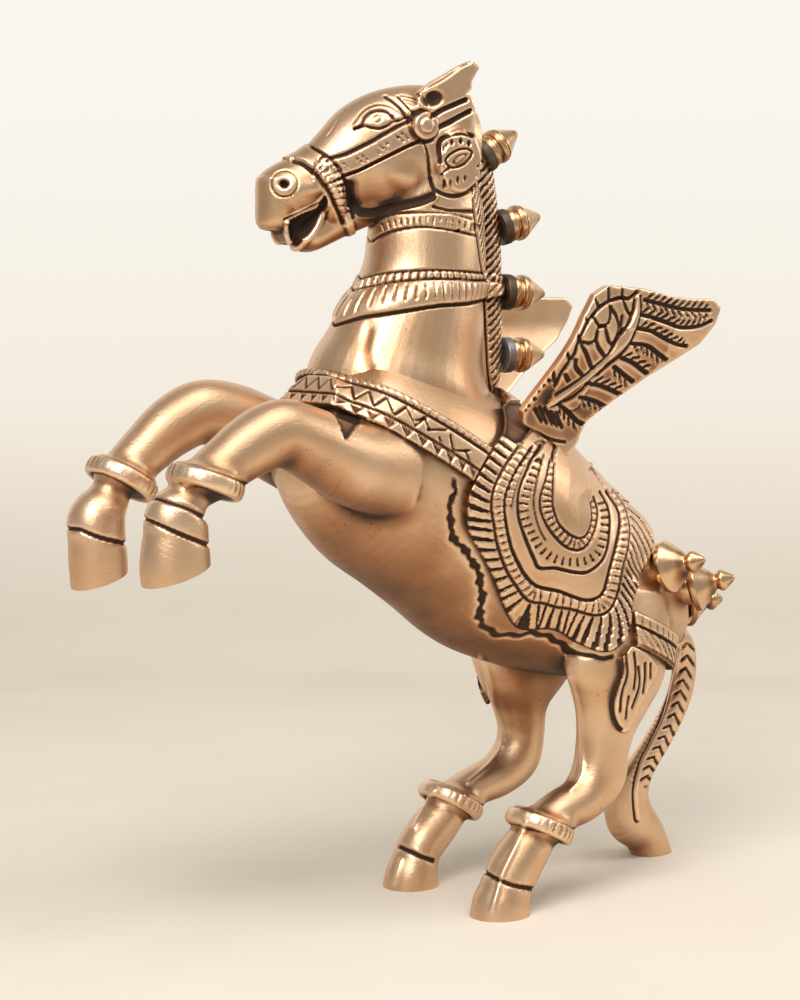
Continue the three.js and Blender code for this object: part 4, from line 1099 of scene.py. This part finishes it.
brushed_brass = brass("neck_brass", BRIGHT, PATINA_AND_SHADE_COLOUR, 0.36, 0.35, (3.0, 3.0, 1.0))
for name, field, apex in (("head_casting", halves, (14, 0, 250)),
                          ("neck_casting", np.minimum(-halves, over_collar), (12, 0, 200))):
    p, q, t, used = patch(placed, head_quads, field, apex, to_neck_edge)
    piece(name, p, q, brushed_brass, "head_and_neck", t, dark[used], facing[used])


# Wings: cast plates bent outward, chased on their outer faces only. Each stands on a spigot that
# goes down through the cloth into the back.
WING = [
    (31, 178), (37, 189), (43, 200), (49, 211), (54, 218.5), (60, 221.5), (75, 220.5), (90, 217.5),
    (103, 216.5), (112, 216.5), (115.5, 213), (112.5, 207), (106, 200), (95, 194), (86, 189),
    (73, 180.5), (62, 173), (58, 165), (52, 160), (38, 162), (33, 168),
]
WING_CELL = 0.48  # mm between the points of the wing
WING_VIEW = (490, 270, 6.672)


def on_wing(points):
    """A line read off the enlarged view of the wing."""
    return crop(points, *WING_VIEW)


wing, wing_quads = fused([prism(WING, -2.1, 2.1)], WING_CELL, soften=5)
bend = np.clip((wing[:, 2] - 168) / 40, 0, 1)
wing[:, 1] -= 26 + 14 * bend ** 2 * (3 - 2 * bend)
wing_out = normals(wing, wing_quads)
wing_seen = sight(wing)
outer = np.clip((-wing_out[:, 1] - 0.3) / 0.4, 0, 1)
relief = np.zeros(len(wing))
BAND = [(985, 150), (930, 195), (880, 190), (820, 205), (760, 235), (715, 275), (665, 340), (620, 430),
        (590, 500), (565, 570), (530, 620), (480, 690), (440, 770)]
RIB = [(990, 200), (985, 280), (955, 380), (920, 460), (850, 530), (760, 600), (690, 660), (610, 730),
       (520, 800), (440, 860), (400, 910)]
RIB_LEFT = [(965, 200), (950, 290), (910, 380), (860, 450), (790, 560), (700, 640), (620, 710),
            (520, 780), (440, 830)]
RIB_RIGHT = [(1000, 180), (1000, 300), (970, 400), (930, 490), (870, 570), (780, 640), (700, 710),
             (640, 770), (560, 840), (450, 890), (400, 915)]
WING_FOOT = [(200, 1040), (300, 1080), (400, 1130), (500, 1150)]
FEATHERS = [
    [(1030, 200), (1150, 230), (1300, 262), (1470, 270)],
    [(1000, 300), (1060, 310), (1180, 350), (1280, 385), (1400, 375), (1480, 340)],
    [(990, 390), (1080, 410), (1150, 450), (1250, 500), (1310, 510)],
    [(950, 495), (1050, 510), (1120, 560), (1175, 600)],
    [(880, 590), (950, 620), (1010, 665), (1045, 690)],
    [(830, 650), (890, 700), (950, 745)],
    [(640, 760), (720, 770), (800, 800), (870, 835)],
    [(600, 850), (700, 880), (775, 920)],
    [(460, 900), (520, 950), (580, 1010), (620, 1030)],
]
QUILLS = [
    [(890, 110), (885, 180)], [(795, 120), (795, 195)], [(700, 175), (725, 240)], [(625, 280), (655, 350)],
    [(560, 390), (600, 460)], [(495, 510), (535, 600)], [(415, 630), (430, 740)],
]
TICKS = [
    [(360, 710), (400, 745)], [(320, 740), (360, 775)], [(285, 775), (325, 815)], [(245, 820), (300, 865)],
    [(215, 870), (260, 910)], [(195, 905), (240, 940)], [(300, 930), (345, 1010)], [(330, 920), (380, 1020)],
    [(365, 925), (420, 1030)], [(400, 940), (450, 1040)], [(440, 960), (480, 1050)],
]
SCALES = [
    [(700, 300), (700, 330), (735, 375), (790, 355), (805, 290), (800, 240)],
    [(600, 470), (650, 490), (700, 470), (720, 400), (750, 370)],
    [(810, 250), (850, 330), (860, 400), (820, 490), (790, 470), (770, 380)],
    [(890, 190), (910, 260), (935, 300)], [(880, 310), (880, 370), (885, 420)],
    [(720, 420), (715, 500), (760, 575)], [(605, 490), (640, 560), (670, 640), (690, 660)],
    [(570, 600), (570, 650), (610, 700)], [(500, 700), (520, 740)],
]
d = track(wing_seen, on_wing(BAND), reach=25)[1]
relief += 0.35 * np.clip(d / 1.5, 0, 1) * (d < 30) - 1.1 * line_cut(d + 0.6, 2.6)
for line in QUILLS + TICKS:
    relief -= engrave(wing_seen, on_wing(line), 2.4, 0.85, reach=8)
for line in SCALES:
    relief -= engrave(wing_seen, on_wing(line), 2.8, 0.95, reach=8)
relief += 0.9 * np.exp(-(track(wing_seen, on_wing(RIB), reach=25)[1] / 3.4) ** 2)
for line in (RIB_LEFT, RIB_RIGHT):
    relief -= engrave(wing_seen, on_wing(line), 3.0, 1.15, reach=12)
vanes, shafts = np.zeros(len(wing)), np.zeros(len(wing))
BARBED_ABOVE, BARBED_BELOW = (0, 1, 2, 4, 6), (0, 3, 5, 7, 8)
for k, line in enumerate(FEATHERS):
    s, d = track(wing_seen, on_wing(line), reach=16)
    free = within(s, 1.0, s.max() - 1.0, 1.5)
    shafts = np.maximum(shafts, line_cut(d, 3.2) * (np.abs(d) < FAR))
    above = comb(s - 0.85 * d, 6.6, 0.34) * within(d, 2.0, 9.2, 1.2) * free
    below = comb(s + 0.95 * d, 6.6, 0.34) * within(-d, 2.0, 8.6, 1.2) * free
    vanes = np.maximum.reduce([vanes, above * (k in BARBED_ABOVE), below * (k in BARBED_BELOW)])
relief -= 1.15 * shafts + 0.85 * vanes * (1 - shafts)
relief -= engrave(wing_seen, on_wing(WING_FOOT), 1.8, 0.7, reach=8)
relief *= outer
points = wing + wing_out * relief[:, None]
dark = hollowness(points, wing_quads, WING_CELL) + 0.6 * np.clip(-relief, 0, 1.2)
dark += 0.25 * outer * (np.abs(track(wing_seen, on_wing(RIB), reach=60)[1]) < 40)
WING_SEAT = 3.95  # mm from the barrel to the wing's lower edge, through the cloth
seat = over_form(wing, BARREL) - WING_SEAT


def to_wing_seat(points):
    """The wing's lower edge, let down or lifted onto the cloth."""
    points = points.copy()
    over = over_form(points, BARREL) - WING_SEAT
    steep = (over_form(points + [0, 0, 0.2], BARREL) - WING_SEAT - over) / 0.2
    points[:, 2] -= np.clip(over / np.maximum(steep, 0.3), -1, 1)
    return points


wing_brass = brass("wing_brass", BRIGHT, PATINA_AND_SHADE_COLOUR, 0.38, 0.35, (1.0, 1.0, 1.0))
for side, name in ((-1, "left_wing"), (1, "right_wing")):
    p, q, t, used = patch(points, wing_quads, seat, (46, -26, 167), to_wing_seat)
    if side > 0:
        p, q, t = p * [1, -1, 1], q[:, ::-1], t[:, ::-1]
    piece(name + "_plate", p, q, wing_brass, name, t, dark[used])

# Breast collar: a chased strap round the chest, brazed on from cloth to cloth over the neck's foot.
# It has a roped upper edge, a zigzag in the middle and a row of cut teeth below.


def off_cloth(points):
    """Distance outside the saddle cloth's outline, in mm."""
    return -track(points[:, [0, 2]], CLOTH, reach=80, closed=True)[1]


def collar_field(points):
    """Inside the collar: between two slanted planes, clear of cloth and forelegs."""
    high = plane_distance(points, COLLAR_AT, COLLAR_SLOPE)
    left_leg = over_form(points, LEGS["left_foreleg"], -FORE_Y) - 0.5
    right_leg = over_form(points, LEGS["right_foreleg"], FORE_Y) - 0.5
    return np.minimum.reduce([7.3 - np.abs(high), 34 - points[:, 0], off_cloth(points) - 0.6,
                              left_leg, right_leg])


high = plane_distance(cover, COLLAR_AT, COLLAR_SLOPE)
near = np.abs(high) < 12
collar = np.full(len(cover), -9.0)
collar[near] = collar_field(cover[near])
along = np.arctan2(np.abs(cover[:, 1]), 12 - cover[:, 0]) * 38
relief = 0.45 * within(high, 4.7, 7.6, 0.5) * (1 - 1.2 * comb(along + 0.9 * high, 2.5, 0.26))
relief -= 0.8 * line_cut(high - 4.3, 0.9) + 0.8 * line_cut(high + 2.9, 0.9)
relief += 0.3 * within(high, -7.6, -3.4, 0.5)
tooth = np.abs((along / 4.4) % 1 - 0.5) * 4.4
relief -= 0.85 * np.clip((0.5 * (high + 7.6) - tooth) / 0.35, 0, 1) * within(high, -7.2, -3.6, 0.3)
middle_band = within(high, -2.3, 3.7, 0.4)
zigzag = np.abs((along / 5.6) % 1 - 0.5) * 4 - 1
relief -= 0.7 * line_cut(high - 0.7 - 2.4 * zigzag, 1.1) * middle_band * (along < 34)
STARS = [
    [(430, 1000), (560, 950)], [(455, 930), (480, 985)], [(590, 1080), (650, 1065), (750, 1075)],
    [(620, 1025), (640, 1070)], [(640, 985), (720, 1100)], [(770, 1090), (810, 1200)],
    [(800, 1200), (900, 1200)], [(740, 1150), (860, 1120)], [(920, 1230), (950, 1380)],
    [(900, 1310), (1020, 1310)], [(860, 1240), (905, 1330)], [(1000, 1310), (1050, 1440)],
]
for line in STARS:
    relief -= engrave(cover_seen, on_neck(line), 2.2, 0.7, reach=8) * middle_band * (along >= 30)
chased("breast_collar_band", collar, (2, 0, 160), onto(collar_field), relief, "breast_collar", edge=0.9)

# Crupper: a chased brass strap brazed round the rump under the tail, from cloth to cloth. It is
# ticked above and roped below.
CRUPPER_AT, CRUPPER_SLOPE = [90, 92.6], -25
TAIL = [
    [114, 0, 89, 7, 6], [127, 0, 87.5, 6.5, 6], [136.5, 0, 83.5, 6, 5.4], [140, 0, 75, 5, 4.6],
    [138, 0, 64, 5, 4.6], [133.5, 1, 54, 5, 4.8], [126.5, 2, 44, 5.2, 5], [120.5, 4, 35, 5.6, 5.6],
    [116.5, 6, 26, 9, 6.5],
    [118, 7, 17, 10.5, 7.5], [127, 8, 8, 8.5, 7.5], [134, 9, -4, 8, 7],
]


def crupper_field(points):
    """Inside the crupper: between two slanted planes, clear of cloth and tail."""
    high = plane_distance(points, CRUPPER_AT, CRUPPER_SLOPE)
    return np.minimum.reduce([6 - np.abs(high), points[:, 0] - 76, off_cloth(points) - 0.6,
                              over_form(points, TAIL) - 0.5])


high = plane_distance(cover, CRUPPER_AT, CRUPPER_SLOPE)
near = (np.abs(high) < 9) & (cover[:, 0] > 70)
crupper = np.full(len(cover), -9.0)
crupper[near] = crupper_field(cover[near])
along = np.arctan2(cover[:, 1], cover[:, 0] - 92) * 28
relief = 0.25 * within(high, 1.6, 6, 0.5) - 0.6 * comb(along, 2.3, 0.24) * within(high, 1.9, 4.9, 0.5)
relief -= 0.8 * line_cut(high - 1.1, 0.9) + 0.5 * line_cut(high + 4.9, 0.6)
relief += 0.4 * within(high, -4.7, 0.8, 0.6) * (1 - 1.5 * comb(along + 0.9 * high, 2.8, 0.22))
chased("crupper_band", crupper, (104, 0, 96), onto(crupper_field), relief, "crupper_strap", edge=0.9)

# Hip leaves: a chased brass feather under the crupper on the outer face of each thigh, brazed on
# by its edge. Its tip points down.
LEAF = [
    (75, 94), (69.8, 88), (69.8, 82), (67.4, 77.5), (66.4, 72), (67.4, 65.5), (70.5, 61.5), (74, 62),
    (77.5, 69), (82, 75.6), (87, 83.5), (81, 90),
]


def leaf_field(points):
    """Inside the leaf's outline, clear of cloth and crupper."""
    inside = track(points[:, [0, 2]], LEAF, reach=30, closed=True)[1]
    below = -6.3 - plane_distance(points, CRUPPER_AT, CRUPPER_SLOPE)
    return np.minimum.reduce([np.where(inside > FAR, -9, inside), below, off_cloth(points) - 0.6,
                              np.abs(points[:, 1]) - 20])


HAUNCH_VIEW = (590, 560, 5.407)


def on_haunch(points):
    """A line read off the enlarged view of the haunch."""
    return crop(points, *HAUNCH_VIEW)


near = (cover[:, 2] < 100) & (cover[:, 0] > 62) & (cover[:, 0] < 92)
leaf = np.full(len(cover), -9.0)
leaf[near] = leaf_field(cover[near])
relief = np.zeros(len(cover))
LEAF_CUTS = [
    ([(180, 440), (175, 520), (180, 600), (150, 690), (125, 770), (125, 840), (150, 900), (170, 920)],
     4.0, 1.1),
    ([(215, 420), (200, 520), (205, 620), (175, 720), (165, 820)], 2.4, 0.8),
    ([(240, 500), (250, 600), (240, 700)], 2.2, 0.7), ([(265, 580), (270, 680), (230, 800)], 2.2, 0.7),
    ([(300, 560), (300, 640), (290, 720)], 2.2, 0.7), ([(210, 740), (195, 860)], 2.0, 0.6),
    ([(330, 560), (330, 640)], 2.0, 0.6),
]
for line, width, depth in LEAF_CUTS:
    relief -= engrave(cover_seen, on_haunch(line), width, depth, reach=8)
for side, name in ((-1, "left_hip_leaf"), (1, "right_hip_leaf")):
    field = np.where(side * cover[:, 1] > 0, leaf, -9)
    chased(name + "_chased", field, (76, side * 24, 80), onto(leaf_field), relief, name, edge=0.9)

# Tail: a solid cast brass limb that curls down to the table as the third foot, brazed into the
# rump, with a ridge of cut V marks.
TAIL_CELL = 0.5  # mm between the points of the tail
tail, tail_quads = fused([loft(TAIL)], TAIL_CELL, fill=8, soften=4)
tail_out = normals(tail, tail_quads)
tail_seen = sight(tail)
RIDGE = [(460, 330), (480, 500), (440, 700), (400, 850), (330, 1000), (280, 1100), (250, 1250),
         (260, 1400)]
s, d = track(tail_seen, on_haunch(RIDGE), reach=25)
relief = 0.5 * np.exp(-(d / 2.2) ** 2) - 0.7 * line_cut(d + 3.2, 1.8)
relief -= 0.7 * comb(s - 0.9 * np.abs(d - 9), 11.5, 0.34) * within(d, 1.5, 19, 2.5) * within(s, 20, 175, 6)
relief -= 0.4 * comb(s, 5.0, 0.3) * within(d, -8, -3.6, 1) * within(s, 6, 175, 6)
facing_camera = np.clip((tail_out @ back) / 0.3, 0, 1)
points = tail + tail_out * (relief * facing_camera)[:, None]
dark = hollowness(points, tail_quads, TAIL_CELL) + 0.6 * np.clip(-relief * facing_camera, 0, 1)


def tail_field(points):
    """The tail outside the rump and above the table."""
    return np.minimum(over_form(points, BARREL) - 0.4, points[:, 2])


ends = [(127, 0, 87.5), (132, 8.5, 0)]
p, q, t, used = patch(points, tail_quads, tail_field(tail), ends, onto(tail_field))
piece("tail_limb", p, q, cast_brass, "tail", t, dark[used])

# Finials: turned on the lathe and fixed to the castings by a spigot, those of the mane on a washer.
# A profile's rows are distance along the axis and radius.
WASHER = [(0, 1), (0, 5.9), (0.15, 6.25), (0.5, 6.4), (2.5, 6.4), (2.85, 6.25), (3, 5.9), (3, 1)]
MANE_TURNING = [
    (0, 1), (0, 5.5), (0.1, 5.75), (0.4, 5.9), (1.6, 5.9), (1.9, 5.75), (2.1, 5.3), (2.4, 5.1),
    (2.9, 5.1), (3.2, 5.4), (3.4, 6.1), (3.7, 6.4), (5.1, 6.4), (5.35, 6.2), (5.5, 5.75), (5.8, 5.65),
    (6.0, 5.9), (6.25, 5.9), (8, 4.8), (10, 3.55), (12, 2.25), (13.2, 1.5), (13.8, 1.0),
    (14.1, 0.55), (14.2, 0.05),
]
RUMP_TURNING = [
    (0, 1), (0, 6.1), (0.1, 6.3), (0.4, 6.4), (3.3, 6.4), (3.6, 6.2), (3.8, 5.7), (4.1, 5.6),
    (4.2, 6.5), (4.25, 8.6), (4.35, 9.3), (4.6, 9.5), (6.2, 9.65), (6.45, 9.6), (6.7, 9.35), (8, 8.15),
    (10, 6.25), (12, 4.4), (13, 3.45), (13.4, 3.1), (13.8, 3.0), (14.2, 3.2), (14.8, 3.75), (15.6, 4.1),
    (16.3, 4.05), (17.2, 3.5), (18.6, 2.45), (19.8, 1.55), (20.4, 1.0), (20.7, 0.55), (20.8, 0.05),
]
turned_brass = brass("turned_brass", (0.76, 0.5, 0.29), PATINA_AND_SHADE_COLOUR, 0.27, 0.15, (1.0, 1.0, 1.0))
# The upper three mane washers are the same grey metal as the lowest; their dark colour is painted shade.
washer_metal = brass("washer_metal", (0.15, 0.115, 0.085), (0.03, 0.022, 0.018), 0.5, 0.6, (1.0, 1.0, 1.0))
grey_washer = brass("grey_washer", (0.3, 0.31, 0.33), (0.09, 0.09, 0.1), 0.5, 0.8, (1.0, 1.0, 1.0))


def lathe_piece(name, profile, foot, direction, turn, look):
    """A turned piece, with patina in the hollows of its profile."""
    fine = smooth_rows(profile, 3)
    around = 96
    points, quads, tris = turned(fine, foot, direction, around=around, turn=turn)
    waist = np.convolve(np.pad(fine[:, 1], 4, mode="edge"), np.ones(9) / 9, "valid") - fine[:, 1]
    dark = np.append(np.repeat(np.clip(0.9 * waist, -1, 1), around), [0, 0])
    piece(name + "_turned", points, quads, look, name, tris, dark)


def tipped(up, out=0):
    """Direction to the rear, raised by `up` degrees and swung `out` degrees to the horse's left."""
    up, out = math.radians(up), math.radians(out)
    return np.array([math.cos(up) * math.cos(out), -math.cos(up) * math.sin(out), math.sin(up)])


# each place is the foot of the finial's axis in mm, its rise and, for the rump, its swing
MANE_PLACES = [([35, 0, 266], 33), ([42.5, 0, 241.5], 15), ([44, 0, 219], -2), ([43.9, 0, 196.5], 0)]
for k, (foot, up) in enumerate(MANE_PLACES, 1):
    axis = tipped(up)
    # the upper three washers take the painted shade, the lowest its own grey
    lathe_piece(f"mane_washer_{k}", WASHER, foot + 0.3 * axis, axis, NECK_TURN,
                grey_washer if k == 4 else washer_metal)
    lathe_piece(f"mane_finial_{k}", MANE_TURNING, foot + 3.6 * axis, axis, NECK_TURN, turned_brass)
RUMP_PLACES = [
    ([98.4, -26.1, 117.2], 14, 71), ([118.6, -18.8, 107.6], 14, 50), ([132, -1.5, 99.6], 2, 20),
    ([118.6, 18.8, 107.6], 14, -50), ([98.4, 26.1, 117.2], 14, -71),
]
for k, (foot, up, out) in enumerate(RUMP_PLACES, 1):
    axis = tipped(up, out)
    lathe_piece(f"rump_finial_{k}", RUMP_TURNING, foot + 0.3 * axis, axis, 0, turned_brass)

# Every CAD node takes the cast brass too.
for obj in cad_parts.values():
    obj.data.materials.clear()
    obj.data.materials.append(cast_brass)
